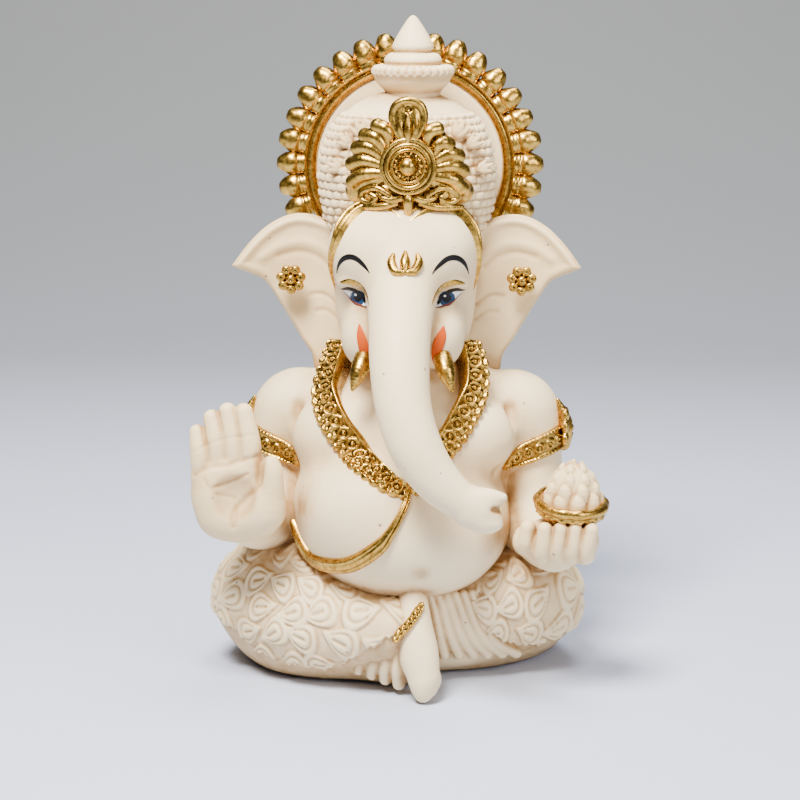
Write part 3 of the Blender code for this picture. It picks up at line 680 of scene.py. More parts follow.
def brocade(pivot, axle, edge_line, sink):
    """Relief of nested teardrop loops round a leg.

    Below edge_line (x, z) the cloth gives way to a plain rim.
    """
    edge_x, edge_z = np.array(edge_line, float).T
    wide, tall = 6.6, 4.2  # of one loop
    around, over = 27, 10.5  # distance along the cloth for each radian round the leg and over it

    def relief(p, n):
        east, south = p[:, 0] - pivot[0], pivot[1] - p[:, 1]
        u = around * np.arctan2(east, south)
        v = over * np.arctan2(p[:, 2] - axle[1], np.hypot(east, south) - axle[0])
        row = np.round(v / tall)
        nearest, height = np.full(len(p), 9.0), np.zeros(len(p))
        for j in (-1, 0, 1):
            r = row + j
            column = np.round(u / wide - 0.5 * np.mod(r, 2))
            for i in (-1, 0, 1):
                c = column + i
                mid_u = (c + 0.5 * np.mod(r, 2) + 0.30 * (chance(c, r, 1) - 0.5)) * wide
                mid_v = (r + 0.24 * (chance(c, r, 2) - 0.5)) * tall
                tilt = 0.9 * (chance(c, r, 3) - 0.35)
                way = np.where(chance(c, r, 4) > 0.3, 1.0, -1.0)
                a = ((u - mid_u) * np.cos(tilt) + (v - mid_v) * np.sin(tilt)) * way
                b = (v - mid_v) * np.cos(tilt) - (u - mid_u) * np.sin(tilt)
                b = b + 0.04 * a * np.abs(a)
                narrow = 1 / np.clip(1 + 0.22 * a, 0.45, 1.6)
                e = np.hypot(a / 3.5, b / 2.1 * narrow)
                closer = e < nearest
                nearest = np.where(closer, e, nearest)
                open_end = ramp_up((a + 2.6) / 1.6)
                slit = bell(b / 0.30) * ramp_up((a + 1.8) / 0.9) * ramp_up((1.5 - a) / 0.7)
                loop = 0.42 * bell((e - 0.62) / 0.085) * open_end
                drop = 0.30 * (1 - np.clip(e, 0, 1) ** 2) - 0.50 * slit - loop
                height = np.where(closer, drop, height)
        height -= 0.45 * ramp_up((nearest - 0.86) / 0.16)
        line = np.interp(p[:, 0], edge_x, edge_z)
        line += 0.35 * np.sin(p[:, 0] * 1.7) + 0.25 * np.sin(p[:, 0] * 4.1)
        above = ramp_up((p[:, 2] - line) / 1.2)
        creases = 0.16 * np.sin(2.6 * u + 1.3 * np.sin(0.7 * v)) * ramp_up((p[:, 2] - 24) / 3)
        fade = 1 - 0.8 * ramp_up((p[:, 2] - 24) / 3)
        return above * (height * fade + creases + 0.1) - (1 - above) * sink

    return relief


right_cloth = brocade((-12, 4), (17, 11), [(-44, 13), (-39, 10.5), (-34.6, 8.6), (-31, 5.6), (-23, 4.0),
                                           (-15.1, 3.6), (-11, 6.0), (-8, 8.6), (-3, 12.4), (0, 14.0),
                                           (4, 16.5)], 0.75)
left_cloth = brocade((8, 5), (12, 10), [(2, 19), (12.4, 17.6), (14.2, 13.8), (17.2, 10.5), (21, 7.9),
                                        (25, 5.6), (30, 5.2), (36, 7.5), (40, 11)], 0.75)

sculpture("torso_body", torso, 0.7, IVORY, "torso")
sculpture("right_forearm", right_arm, 0.6, IVORY, "right_arm")
sculpture("left_forearm", left_arm, 0.6, IVORY, "left_arm")
sculpture("right_leg_cloth", right_leg, 0.30, IVORY, "right_leg", relief=right_cloth, floor=0.0)
sculpture("left_leg_cloth", left_leg, 0.30, IVORY, "left_leg", relief=left_cloth, floor=0.0)


def draped(p, n):
    """Long shallow folds of cloth drawn round the back of the seat."""
    lift = p[:, 2] + 0.006 * p[:, 0] ** 2 + 1.2 * np.sin(p[:, 0] / 9.0)
    fold = 0.5 * np.sin(lift * 1.55) + 0.25 * np.sin(lift * 2.9 + p[:, 0] / 6.0)
    return fold * ramp_up((n[:, 1] + 0.1) * 2) * ramp_up((p[:, 2] - 2) / 3)


sculpture("seat_base", seat, 0.5, IVORY, "seat", relief=draped, floor=0.0)
sculpture("right_foot_bare", foot, 0.35, IVORY, "right_foot", floor=0.0)
sculpture("head_and_trunk", head, 0.45, IVORY, "head")

hem = Clay()
for i in range(4):
    hem.limb([(-6.8 + 2.3 * i, -25.4 - 1.2 * i, 9.6 + 1.1 * i, 1.0),
              (-8.0 + 2.6 * i, -25.0 - 1.1 * i, 7.0 - 0.2 * i, 1.55),
              (-8.6 + 2.8 * i, -24.0 - 1.0 * i, 4.4 - 0.7 * i, 1.3)], 10, soft=0.6)
sculpture("cloth_hem", hem, 0.28, IVORY, "hem_ruffle", floor=0.0)

pleats = Clay()
for i in range(6):
    pleats.limb([(5.8 + 1.7 * i, -23.2 + 1.1 * i, 20.2 - 0.2 * i, 0.9),
                 (7.2 + 2.2 * i, -22.4 + 1.2 * i, 13.2 - 0.7 * i, 1.35),
                 (8.8 + 3.0 * i, -19.4 + 1.4 * i, 6.4 - 0.35 * i, 1.2)], 12, soft=0.45)
pleats.limb([(7, -18.6, 17, 4.2), (10, -15.8, 11, 4.6), (13, -12.5, 7, 4.6)], 12, soft=0.8)
sculpture("cloth_pleats", pleats, 0.28, IVORY, "dhoti_pleats", floor=0.0)

# ---------------------------------------------------------------- hands

right_hand = Clay()
right_hand.egg((-33.4, -24.5, 41.5), (9.0, 3.6, 9.6))
right_hand.egg((-38.0, -25.4, 40.5), (3.9, 3.4, 7.2), (0, -6, 0), soft=2)
right_hand.egg((-35, -25.2, 46.2), (7.2, 2.9, 3.0), (0, -8, 0), soft=1.6)
right_hand.egg((-33, -24.5, 36.0), (7.4, 4.2, 4.2), soft=2.5)
right_hand.egg((-28.2, -26.2, 38.8), (4.9, 3.9, 6.0), (0, 12, 0), soft=1.5)
right_hand.cut(Egg((-33.2, -29.0, 41.6), (3.6, 1.9, 3.8)), soft=2.0)
for root, middle, tip in (((-40.2, 44, 2.1), (-40.5, 50, 2.15), (-41.2, 54.0, 1.65)),
                          ((-36.9, 45, 2.1), (-37.1, 52, 2.2), (-38.2, 57.0, 1.75)),
                          ((-33.6, 45, 2.1), (-33.9, 52, 2.2), (-35.0, 58.4, 1.8)),
                          ((-30.2, 45, 2.2), (-30.5, 52, 2.25), (-31.7, 58.3, 1.85))):
    right_hand.limb([(root[0], -24.9, root[1], root[2]), (middle[0], -25.1, middle[1], middle[2]),
                     (tip[0], -24.2, tip[1], tip[2])], 12, soft=0.55)
right_hand.limb([(-26.8, -26.2, 38.5, 3.6), (-25.9, -27.2, 43, 2.5), (-25.7, -27.4, 46.6, 2.15),
                 (-26.0, -27.2, 48.2, 1.8)], 12, soft=0.8)
palm_lines = carved(
    ([[(-41.6, 45.8), (-38.8, 47.6), (-35.6, 48), (-31.3, 49.2), (-27.8, 49.9)]], 0.45, -0.28),
    ([[(-41.9, 50.6), (-38.6, 52.2), (-35.4, 53.4), (-29.4, 54.2)]], 0.35, -0.10),
    ([[(-37.6, 43.5), (-33.9, 44.8), (-30.6, 46.3)]], 0.45, -0.25),
    ([[(-27.6, 49.2), (-28.3, 44.9), (-31.0, 41.2), (-33.2, 38.8), (-33.6, 35.7)]], 0.6, -0.35),
    ([[(-39.4, 45.2), (-37.4, 42.4), (-33.5, 41.2)]], 0.4, -0.15),
)
sculpture("raised_hand", right_hand, 0.30, DARKER_IVORY, "right_hand", relief=palm_lines)

left_hand = Clay()
left_hand.egg((32.2, -21, 31.6), (8.3, 6.5, 4.8))
left_hand.egg((32.0, -26.2, 32.6), (8.2, 6.3, 4.9), soft=2)
for low, top in ((28.7, 29.2), (31.5, 32.3), (34.6, 35.2), (37.4, 38.4)):
    left_hand.limb([(low + 0.3, -27, 30.2, 1.9), (low, -30.4, 31.0, 1.75), (low + 0.3, -31.6, 33.4, 1.7),
                    (top, -31.8, 36.6, 1.5)], 12, soft=0.5)
left_hand.limb([(25.6, -20, 31.8, 2.6), (25.2, -25, 32.0, 2.4), (25.6, -29, 33.0, 2.1),
                (25.9, -30, 36.4, 1.6)], 12, soft=0.6)
sculpture("cupped_hand", left_hand, 0.30, DARKER_IVORY, "left_hand")

# ---------------------------------------------------------------- ears


def ear_bend(p):
    t = (np.abs(p[:, 0]) - 12) / 25
    lift = 3.2 * np.sin(math.pi * np.clip(t, 0, 1)) - 3.0 * np.clip(t, 0, None) ** 2
    return 1.5 + lift + 0.9 * bell((p[:, 2] - 79) / 8) * np.clip(t, 0, 1)


def ear_thickness(p, edge):
    return 2.0 + 1.3 * bell((edge + 1.3) / 0.9) * ramp_up((p[:, 2] - 80) / 8)


EAR = [(13.5, 92), (18.5, 94.8), (24, 95.3), (29, 93.2), (33, 89.6), (36.2, 85.4), (36.4, 84.6),
       (33.2, 83.0), (30.2, 81.2), (27.8, 77.6), (25.2, 73.2), (22.6, 68.8), (20.4, 65.4), (19.6, 62.2),
       (16.0, 62.6), (12.0, 65.4), (10.5, 74), (11.5, 84)]
EAR_FOLDS = (
    (((15.2, 86.2), (18.4, 88.4), (22.4, 89.4), (26.6, 88.6), (30.4, 86.4)), 1.1, 0.42),
    (((16.4, 84.6), (19.2, 86.6), (23, 87.4), (27, 86.6)), 0.6, -0.22),
    (((14.6, 76.6), (17.6, 78.4), (20.4, 78.2)), 0.45, -0.30),
    (((14.4, 73.4), (17.0, 75.0), (19.2, 74.9)), 0.45, -0.25),
)  # (line, width, height) of each
for name, side in (("right", -1), ("left", 1)):
    ear = Clay().add(Sheet([(side * x, z) for x, z in EAR], ear_bend, ear_thickness))
    mirrored = [([[(side * x, z) for x, z in line]], width, height) for line, width, height in EAR_FOLDS]
    folds = carved(*mirrored)
    sculpture(f"{name}_ear_sheet", ear, 0.34, DARKER_IVORY, f"{name}_ear", relief=folds)

    flower = Clay()
    x, y, z = side * 24.2, -0.3, 82.0
    for i in range(7):
        angle = 2 * math.pi * (i + 0.25) / 7
        at = np.array([x + 2.15 * math.cos(angle), y - 0.3, z + 2.15 * math.sin(angle)])
        flower.egg(at, (1.05, 0.9, 1.05), soft=0.2)
        flower.cut(Egg(at + (0, -0.95, 0), (0.42, 0.4, 0.42)), soft=0.3)
    flower.egg((x, y - 0.5, z), (1.1, 1.25, 1.1), soft=0.15)
    flower.egg((x, y + 0.6, z), (2.6, 0.7, 2.6), soft=0.2)
    flower.cut(Egg((x, y - 1.75, z), (0.4, 0.4, 0.4)), soft=0.3)
    sculpture(f"{name}_flower", flower, 0.17, GOLD, f"{name}_ear_flower", "gold_paint")

    tusk = Clay()
    inward = 1.3 if side < 0 else 0.5  # how far the tusk is tucked towards the trunk
    tusk.limb([(side * (8.4 - inward), -19.5, 71.0, 1.4), (side * (8.9 - inward), -21.6, 69.0, 1.9),
               (side * (9.7 - inward), -23.6, 66.6, 1.8), (side * (10.9 - inward), -25.0, 63.4, 0.45)], 16)
    sculpture(f"{name}_tusk_tip", tusk, 0.25, GOLD, f"{name}_tusk", "gold_paint")

# ---------------------------------------------------------------- crown


CAP_RADIUS = 17.5
BRICK_WIDE, BRICK_TALL = 3.0, 1.75


def bricks(turn, along, z):
    """Short pillows in offset rows, as of a tightly wound turban, that fade out towards the top."""
    row = np.floor(along / BRICK_TALL)
    u = turn * CAP_RADIUS / BRICK_WIDE + 0.5 * np.mod(row, 2) + 0.25 * chance(row, 3, 7)
    column = np.floor(u)
    a = np.abs(2 * (u - column) - 1)
    b = np.abs(2 * (along / BRICK_TALL - row) - 1)
    pillow = (1 - a**4) * (1 - b**4) * (0.34 + 0.26 * chance(column, row, 5))
    return 1.7 * pillow * ramp_up((117.6 - z) / 2) - 0.25


CAP = [(0, 120.9), (5.8, 120.9), (7.2, 120.4), (10.4, 118.9), (13.4, 116.6), (16.0, 113.2), (17.8, 108.6),
       (18.4, 103.5), (17.9, 97.5), (16.4, 92.5), (14.6, 88.0), (0, 87.6)]
lathe("turban_cap", CAP, (0, 4, 0), IVORY, "crown_cap", relief=bricks, squash=0.76, steps=360, pitch=0.22)

# Round stand-ins for the turned cap and the turned tier, for the painted shade
masses.append((Egg((0, 4, 104), (18, 13.6, 16.6)), np.array([-19, -11, 86.0]), np.array([19, 19, 122.0])))
masses.append((Egg((1.2, 4, 124.6), (8.4, 8.4, 1.8)), np.array([-8, -5, 122.0]), np.array([10, 13, 127.0])))
petals = Clay()
for side, shift in ((-1, 0.6), (1, 1.4)):
    for x, z, tilt, size in ((9.0, 113.4, 28, 1.0), (11.6, 111.6, 48, 0.9), (13.6, 106.8, 66, 0.8)):
        for k in (-1, 0, 1):
            angle = math.radians(tilt + 26 * k)
            base = np.array([side * x + shift, -6.6 + 0.10 * x, z - 1.2])
            way = np.array([side * math.sin(angle), -0.22, math.cos(angle)])
            tip = base + way * (4.3 - 0.6 * abs(k)) * size
            petals.limb([(*base, 0.5 * size), (*(base * 0.6 + tip * 0.4), 0.9 * size), (*tip, 0.12)], 6,
                        soft=0.08)
# The petals take the darker ivory as painted shade on their down-facing undersides.
sculpture("turban_petals", petals, 0.24, DARKER_IVORY, "crown_cap")


def scallops(count, low, high, height):
    """Relief of rounded teeth between two heights."""

    def relief(turn, along, z):
        tooth = np.abs(np.sin(turn * count / 2 + 0.35 * np.sin(turn * 3))) ** 0.7
        return height * (tooth - 0.6) * ramp_up((z - low) / 0.6) * ramp_up((high - z) / 0.6)

    return relief


top = (1.2, 4.0, 0.0)
lotus = [(0, 126.4), (5.9, 126.3), (7.2, 126.0), (7.9, 126.2), (8.5, 125.6), (8.5, 124.6), (8.0, 123.8),
         (7.6, 122.8), (6.6, 121.8), (5.8, 121.0), (5.6, 119.6), (5.9, 118.6), (0, 118.4)]
lathe("lotus_rim", lotus, top, IVORY, "lotus_tier", relief=scallops(30, 124.4, 127.0, 0.55), steps=300,
      pitch=0.2)
tier = [(0, 129.0), (4.4, 128.9), (5.2, 128.6), (5.8, 128.0), (6.1, 127.2), (5.7, 126.7), (6.0, 126.3),
        (6.1, 125.8), (5.6, 125.4), (0, 125.3)]
lathe("upper_ring", tier, top, IVORY, "upper_tier", relief=scallops(22, 128.0, 129.2, 0.16), steps=200,
      pitch=0.2)
bud = [(0, 136.6), (0.5, 136.45), (1.2, 135.7), (2.2, 134.2), (3.2, 132.6), (4.0, 131.1), (4.35, 130.2),
       (4.2, 129.6), (3.7, 129.3), (3.8, 128.9), (4.3, 128.6), (4.2, 128.2), (0, 128.1)]
lathe("lotus_bud", bud, top, IVORY, "finial_bud", steps=128, pitch=0.2)

BOSS_X, BOSS_Z = 1.2, 107.5


def on_plaque(x, z, rise=0.0):
    """A place on the front of the crown, given from the boss."""
    return BOSS_X + x, -16.6 + 0.030 * x * x - rise, BOSS_Z + z


plaque = Clay()
plaque.egg((BOSS_X, -11.2, 106.0), (10.6, 4.0, 8.6))
lobes = {-1: [(-7.0, 8.9), (-9.8, 6.6), (-11.6, 3.7), (-12.8, 0.0), (-12.6, -4.0)],
         1: [(6.5, 8.3), (9.1, 4.9), (11.2, 2.0), (12.1, -1.4), (11.9, -5.2)]}
for side, ends in lobes.items():
    for x, z in ends:
        far = np.array([x, z])
        reach = length(far)
        out = far / reach
        down = np.array([side * out[1], -side * out[0]])
        near = out * 5.2
        middle = (near + far) / 2 - down * 0.9
        end = far - out * 1.35
        main = [(*on_plaque(*near, 0.2), 1.0), (*on_plaque(*middle, 0.8), 1.45), (*on_plaque(*end, 0.4), 1.6)]
        plaque.limb(main, 10, soft=0.25)
        for shift, thin in ((1.75, 0.6), (2.55, 0.4)):
            path = [near + down * shift * 0.5, middle + down * shift, end + down * shift * 0.9]
            plaque.limb([(*on_plaque(*q, 0.2), thin) for q in path], 10, soft=0.1)
plaque.limb([(*on_plaque(x, -5.6, -2.4), 2.6) for x in (-10.5, -7, -3.5, 0, 3.5, 7, 10.5)], 24, soft=1.0)
for side in (-1, 1):
    scroll = [(3.6, -6.0), (6.4, -4.6), (9.2, -5.4), (9.6, -7.0), (7.8, -7.6), (6.6, -6.6), (7.6, -6.0)]
    plaque.limb([(*on_plaque(side * x, z, 0.5), 0.62) for x, z in scroll], 24, soft=0.15)
    for path, rise, count in (
        (((2.4, -7.6, 0.5), (6, -8.3, 0.8), (10.6, -8.6, 0.6)), 0.6, 12),
        (((1.6, -6.4, 0.8), (3.4, -6.9, 0.7), (5.2, -6.6, 0.5)), 0.6, 8),
        (((1.5, 5.6, 0.7), (2.3, 4.9, 0.5), (3.2, 4.9, 0.4)), 0.4, 8),
    ):
        plaque.limb([(*on_plaque(side * x, z, rise), r) for x, z, r in path], count, soft=0.15)
drop = [(-5.8, 1.0, 0.8), (-6.9, 1.1, 1.05), (-8.6, 0.9, 0.9), (-10.2, 0.6, 0.4)]
plaque.limb([(*on_plaque(0, z, rise), r) for z, rise, r in drop], 12, soft=0.2)
sculpture("crown_fan", plaque, 0.22, GOLD, "crown_plaque", "gold_paint")

leaf = Clay()
leaf.egg(on_plaque(0, 9.0, 0.4), (3.2, 1.3, 4.2))
rim = [(0, 4.0), (1.4, 5.6), (2.9, 8.2), (3.2, 10.4), (2.3, 12.3), (0, 13.1), (-2.3, 12.3), (-3.2, 10.4),
       (-2.9, 8.2), (-1.4, 5.6), (0, 4.0)]
leaf.limb([(*on_plaque(x, z, 0.9), 0.8) for x, z in rim], 40, soft=0.3)
for side in (-1, 1):
    leaf.limb([(*on_plaque(side * 0.4, 4.4, 1.2), 0.4), (*on_plaque(side * 1.5, 7.6, 1.3), 0.7),
               (*on_plaque(side * 1.5, 10.0, 1.2), 0.4)], 10, soft=0.15)
vein = [(4.2, 1.8, 0.4), (7.4, 2.0, 0.75), (10.2, 1.7, 0.35)]
leaf.limb([(*on_plaque(0, z, rise), r) for z, rise, r in vein], 10, soft=0.15)
leaf.cut(Egg(on_plaque(0, 11.4, 1.7), (0.85, 0.9, 0.75)), soft=0.2)
sculpture("crown_top_leaf", leaf, 0.20, GOLD, "crown_leaf", "gold_paint")

boss = Clay()
boss.egg((BOSS_X, -17.0, BOSS_Z), (4.6, 1.4, 4.6))
boss.add(Ring((BOSS_X, -18.2, BOSS_Z), 5.3, 0.5), 0.2)
boss.add(Ring((BOSS_X, -18.6, BOSS_Z), 4.3, 0.5), 0.2)
boss.add(Ring((BOSS_X, -18.5, BOSS_Z), 3.3, 0.38), 0.2)
boss.egg((BOSS_X, -18.3, BOSS_Z), (2.0, 2.0, 2.0), soft=0.2)
for i in range(14):
    angle = 2 * math.pi * i / 14
    boss.egg((BOSS_X + 2.6 * math.cos(angle), -18.3, BOSS_Z + 2.6 * math.sin(angle)), (0.28, 0.4, 0.28),
             soft=0.1)
sculpture("crown_round_boss", boss, 0.18, GOLD, "crown_boss", "gold_paint")

brow_form = Clay()
brow_form.egg((0, -3.5, 86), (15, 16.5, 16))
brow_form.egg((-7, -11, 90), (8, 9.5, 8.5), soft=5)
brow_form.egg((7, -11, 90), (8, 9.5, 8.5), soft=5)
brow_form.egg((0, 4, 103), (17.4, 13.4, 16), soft=3)


def twin_ridges(s, v, half):
    tall = np.clip(half / 1.6, 0.25, 1)
    return 0.25 + tall * (1.1 * bell((v - 0.52) / 0.25) + 1.1 * bell((v + 0.52) / 0.25)) - 0.3 * v**6


ARCHES = [(-14.6, -7.5, 76.5, 0.25), (-14.9, -9.5, 80.5, 0.35), (-14.6, -12.3, 85, 0.5),
          (-14.0, -15.2, 89, 0.8), (-13.1, -16.6, 92.4, 1.2), (-11.8, -15.8, 95.4, 1.7),
          (-9.9, -14.4, 98.0, 1.7), (-7.5, -13.8, 99.6, 1.7), (-5.1, -14.4, 99.9, 1.7),
          (-2.4, -15.4, 99.2, 1.7), (-0.4, -16.6, 97.9, 1.6), (1.2, -17.6, 96.3, 1.2)]
OTHER_ARCH = [(1.2, -17.6, 96.3, 1.2), (2.9, -16.6, 98.0, 1.6), (5.5, -14.8, 99.4, 1.7),
              (8, -13.4, 99.6, 1.7), (10.4, -12.6, 98.5, 1.7), (12.3, -12.6, 97.1, 1.7),
              (13.9, -12.9, 95.1, 1.7), (14.8, -13, 92.1, 1.2), (15.2, -12.6, 88.6, 0.85),
              (15.2, -10.5, 84, 0.5), (15.0, -8.5, 80, 0.35), (14.6, -7.0, 76.5, 0.25)]
band("forehead_band_right", brow_form, ARCHES, twin_ridges, GOLD, "crown_band", across=18)
band("forehead_band_left", brow_form, OTHER_ARCH, twin_ridges, GOLD, "crown_band", across=18)

# ---------------------------------------------------------------- halo

HALO_Z, HALO_Y = 104.3, 17.0  # middle of the disc
RAY_COUNT = 21
RAY_FOOT = 22.7  # distance of a ray's foot from the middle
halo_edge = [(20.2 * math.sin(a), HALO_Z + 20.2 * math.cos(a)) for a in np.radians(np.arange(-120, 121, 15))]
halo_edge += [(13, 86), (11, 76), (-11, 76), (-13, 86)]
halo_disc = Clay().add(Sheet(halo_edge, lambda p: HALO_Y + 0 * p[:, 0], lambda p, edge: 3.0 + 0 * edge, 0.8))


def halo_rings(p, n):
    """Shallow rings and rays on the back of the disc."""
    r = np.hypot(p[:, 0], p[:, 2] - HALO_Z)
    turn = np.arctan2(p[:, 0], p[:, 2] - HALO_Z)
    rays = 0.35 * np.cos(24 * turn) * ramp_up((r - 8.5) / 1.5) * ramp_up((16.5 - r) / 1.5)
    rings = 0.5 * bell((r - 7.5) / 0.6) + 0.5 * bell((r - 17.3) / 0.6)
    return (rays + rings) * np.clip(n[:, 1] * 3 - 1, 0, 1) * ramp_up((p[:, 2] - 88) / 4)


sculpture("halo_back", halo_disc, 0.45, IVORY, "halo_disc", relief=halo_rings)

ring_profile = np.array([(20.0, 15.6), (20.2, 15.1), (21.0, 14.8), (21.7, 14.7), (21.9, 15.2), (22.0, 14.7),
                         (22.3, 14.0), (22.6, 14.1), (22.8, 14.9), (23.0, 15.2), (23.2, 15.9), (23.3, 18.2),
                         (22.9, 19.0), (20.2, 19.2), (20.0, 18.6)])
arc = np.radians(np.linspace(-122, 122, 300))
sections = np.stack([np.outer(np.sin(arc), ring_profile[:, 0]), np.tile(ring_profile[:, 1], (len(arc), 1)),
                     HALO_Z + np.outer(np.cos(arc), ring_profile[:, 0])], -1)
milled_rim = np.abs(ring_profile[:, 0] - 22.9) < 0.5
sections[..., 1] += 0.16 * np.sin(arc * 190)[:, None] * milled_rim
sweep("halo_band", sections, GOLD, "halo_ring")

RAY_PROFILE = [(0, 5.9), (0.9, 5.8), (1.5, 5.3), (2.0, 4.5), (2.4, 3.6), (2.65, 2.7), (2.65, 2.0),
               (2.45, 1.5), (2.1, 1.2), (2.45, 1.0), (2.5, 0.75), (2.2, 0.5), (2.4, 0.3), (2.5, 0.0),
               (2.3, -0.6), (0, -0.7)]


def hammered(turn, along, z):
    return 0.03 * np.sin(5 * turn + z * 1.7) + 0.03 * np.sin(3 * turn - z * 2.9 + 1.0)


for number in range(1, RAY_COUNT + 1):
    node = f"halo_ray_{number:02d}"
    low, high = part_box(node)
    across, height = (low[0] + high[0]) / 2 / MM, (low[2] + high[2]) / 2 / MM - HALO_Z
    angle = math.atan2(across, height)
    lean = math.degrees(angle)
    foot_x, foot_z = RAY_FOOT * math.sin(angle), HALO_Z + RAY_FOOT * math.cos(angle)
    size = 1.0 + 0.06 * (chance(number, 2, 3) - 0.5)
    profile = [(r * size, h * size) for r, h in RAY_PROFILE]
    lathe(f"ray_bud_{number:02d}", profile, (foot_x, HALO_Y - 1.2, foot_z), GOLD, node,
          relief=hammered, squash=0.85, tilt=(0, lean + 3 * (chance(number, 5, 6) - 0.5), 0), steps=32,
          pitch=0.25)

# ---------------------------------------------------------------- jewels


def drape(spots):
    """The points in front of the head at each (x, z)."""
    p = np.array([(x, -48.0, z) for x, z in spots])
    for _ in range(90):
        p[:, 1] += np.clip(head(p), -0.5, 1.5) * 0.8
    return p


def stud(s, b, pitch, size):
    """A row of little rings, each with a bead in it."""
    r = np.hypot(np.mod(s, pitch) - pitch / 2, b)
    return 0.65 * bell((r - 0.78 * size) / (0.24 * size)) + 0.75 * bell(r / (0.3 * size))


def collar(s, v, half):
    b = v * half
    rim = 1.05 * bell((v + 0.8) / 0.17)
    rings = stud(s, b + 0.16 * half, 2.9, 1.42)
    from_bead = np.hypot(np.mod(s + 1.45, 1.45) - 0.725, b - 0.40 * half)
    beads = 0.6 * bell(from_bead / 0.42) * ramp_up((half - 1.6) / 0.6)
    tooth = np.abs(np.mod(s / 2.0, 1) - 0.5) * 2
    leaf_edge = 0.6 * bell((v - 0.76) / 0.17) * (1 - tooth**3)
    drop = -0.75 * ramp_up((v - 0.70 - 0.3 * (1 - tooth**2)) / 0.12)
    return 0.45 + rim + rings + beads + leaf_edge + drop


right_collar = [(-13.0, -10.0, 70.0, 2.4), (-14.2, -11.5, 65.6, 2.6), (-15.2, -13.4, 60.6, 2.9),
                (-14.6, -16.4, 56.8, 3.1), (-12.6, -19.4, 53.6, 3.2), (-9.6, -22.4, 50.3, 3.2),
                (-6.5, -25.4, 47.2, 3.0), (-2.4, -28, 44.4, 2.4), (1.4, -29.1, 42.9, 1.3)]
left_collar = [(2.4, -29.1, 43.4, 1.6), (5.0, -26.4, 47.0, 2.4), (8.6, -23.4, 50.8, 2.8),
               (12.0, -19.0, 55.2, 3.0), (14.2, -14.8, 60.0, 2.9), (14.2, -11.5, 65.2, 2.7),
               (13.2, -10.0, 70.0, 2.4)]
collar_form = Clay()
collar_form.strokes = list(torso.strokes)
collar_form.egg((0, -1.5, 60), (27, 14.5, 17), soft=9)
band("necklace_right", collar_form, right_collar, collar, GOLD, "necklace", pitch=0.18, across=36, sink=4.5)
band("necklace_left", collar_form, left_collar, collar, GOLD, "necklace", pitch=0.18, across=36, sink=4.5)


def cord(s, v, half):
    round_top = (0.75 + 0.4 * half) * np.sqrt(np.clip(1 - v**2, 0, 1))
    return 0.2 + round_top - 0.42 * bell((v + 0.28) / 0.14) - 0.2 * bell((v - 0.45) / 0.1)


THREAD = [(1.9, -29, 43.4, 0.5), (1.4, -30.2, 41.4, 0.8), (0.2, -31.3, 38.8, 0.85), (-1.8, -32, 35.4, 1.1),
          (-4.1, -32.2, 32.5, 1.6), (-9.6, -29.3, 28.4, 1.75), (-14.4, -25, 27.0, 1.75),
          (-17.9, -20, 27.0, 1.6), (-20, -18, 29.0, 1.3), (-21.9, -16.3, 32.4, 0.8),
          (-22.4, -15.5, 34.0, 0.3)]
band("sacred_thread_cord", torso, THREAD, cord, GOLD, "sacred_thread", pitch=0.25, across=18)


def bangle(s, v, half):
    b = v * half
    edges = 0.4 * bell((np.abs(v) - 0.86) / 0.13) * (1 + 0.25 * np.sin(2 * math.pi * s / 0.8))
    bars = 0.3 * bell(b / 0.3) * bell((np.mod(s, 2.5) - 0.1) / 0.3)
    return 0.45 + edges + 0.9 * stud(s, b, 2.5, 1.05) + bars


for name, side in (("right", -1), ("left", 1)):
    arm_form = Clay()
    arm_form.strokes = list(torso.strokes)
    arm_form.limb([(side * 24, 0, 56, 8.4), (side * 25.2, -0.5, 50, 7.8), (side * 25.8, -1, 45, 7.2),
                   (side * 26.2, -2, 39, 7.0)], 12, soft=1.5)
    loop = [(side * (25.7 + 7.9 * math.cos(a)), -1 + 7.9 * math.sin(a), 47.2 + 2.6 * math.cos(a),
             2.45 - 1.7 * ramp_up((abs(math.degrees(a)) - 112) / 28))
            for a in np.radians(np.arange(-138, 139, 12))]
    band(f"{name}_arm_band", arm_form, loop, bangle, GOLD, f"{name}_armlet", pitch=0.2, across=26)
    badge = Clay()
    badge.limb([(side * 33.4, -2.5, 47.6, 1.4), (side * 33.9, -2.5, 51.2, 1.6),
                (side * 33.1, -2.2, 54.4, 1.1), (side * 32.0, -2.0, 57.0, 0.4)], 12)
    for y, z in ((-4.9, 49.2), (-4.6, 51.8), (-0.3, 49.2), (-0.4, 51.8), (-3.6, 54.0), (-1.2, 54.0)):
        badge.egg((side * 33.6, y, z), (0.9, 1.2, 1.5), soft=0.25)
    for z in (48.6, 50.4, 52.2, 54.0):
        badge.groove([(side * 35.2, -6, z - 0.6, 0.25), (side * 35.4, -2.3, z, 0.25),
                      (side * 35.2, 1, z - 0.6, 0.25)], 6, 0.2)
        badge.groove([(side * 35.0, -6.4, z, 0.2), (side * 31.8, -5.6, z - 0.4, 0.2)], 4, 0.2)
    sculpture(f"{name}_arm_leaf", badge, 0.2, GOLD, f"{name}_armlet_leaf", "gold_paint")

ankle_form = Clay()
ankle_form.strokes = foot.strokes + right_leg.strokes


def rope(s, v, half):
    twist = 0.6 + 0.2 * np.sin(2 * math.pi * (s / 1.3 + 0.4 * v))
    return 0.4 + twist * (1 - v**2) - 0.35 * bell((v - 0.3) / 0.15)


band("ankle_bangle", ankle_form, [(-0.8, -29.0, 13.0, 0.5), (0.1, -30.2, 13.9, 0.85), (1.5, -31.4, 15.7, 0.9),
                                  (2.9, -31.4, 17.6, 0.9), (4.1, -30.6, 19.2, 0.9), (5.1, -29.4, 20.3, 0.6)],
     rope, GOLD, "anklet", pitch=0.15, across=16, sink=0.9)

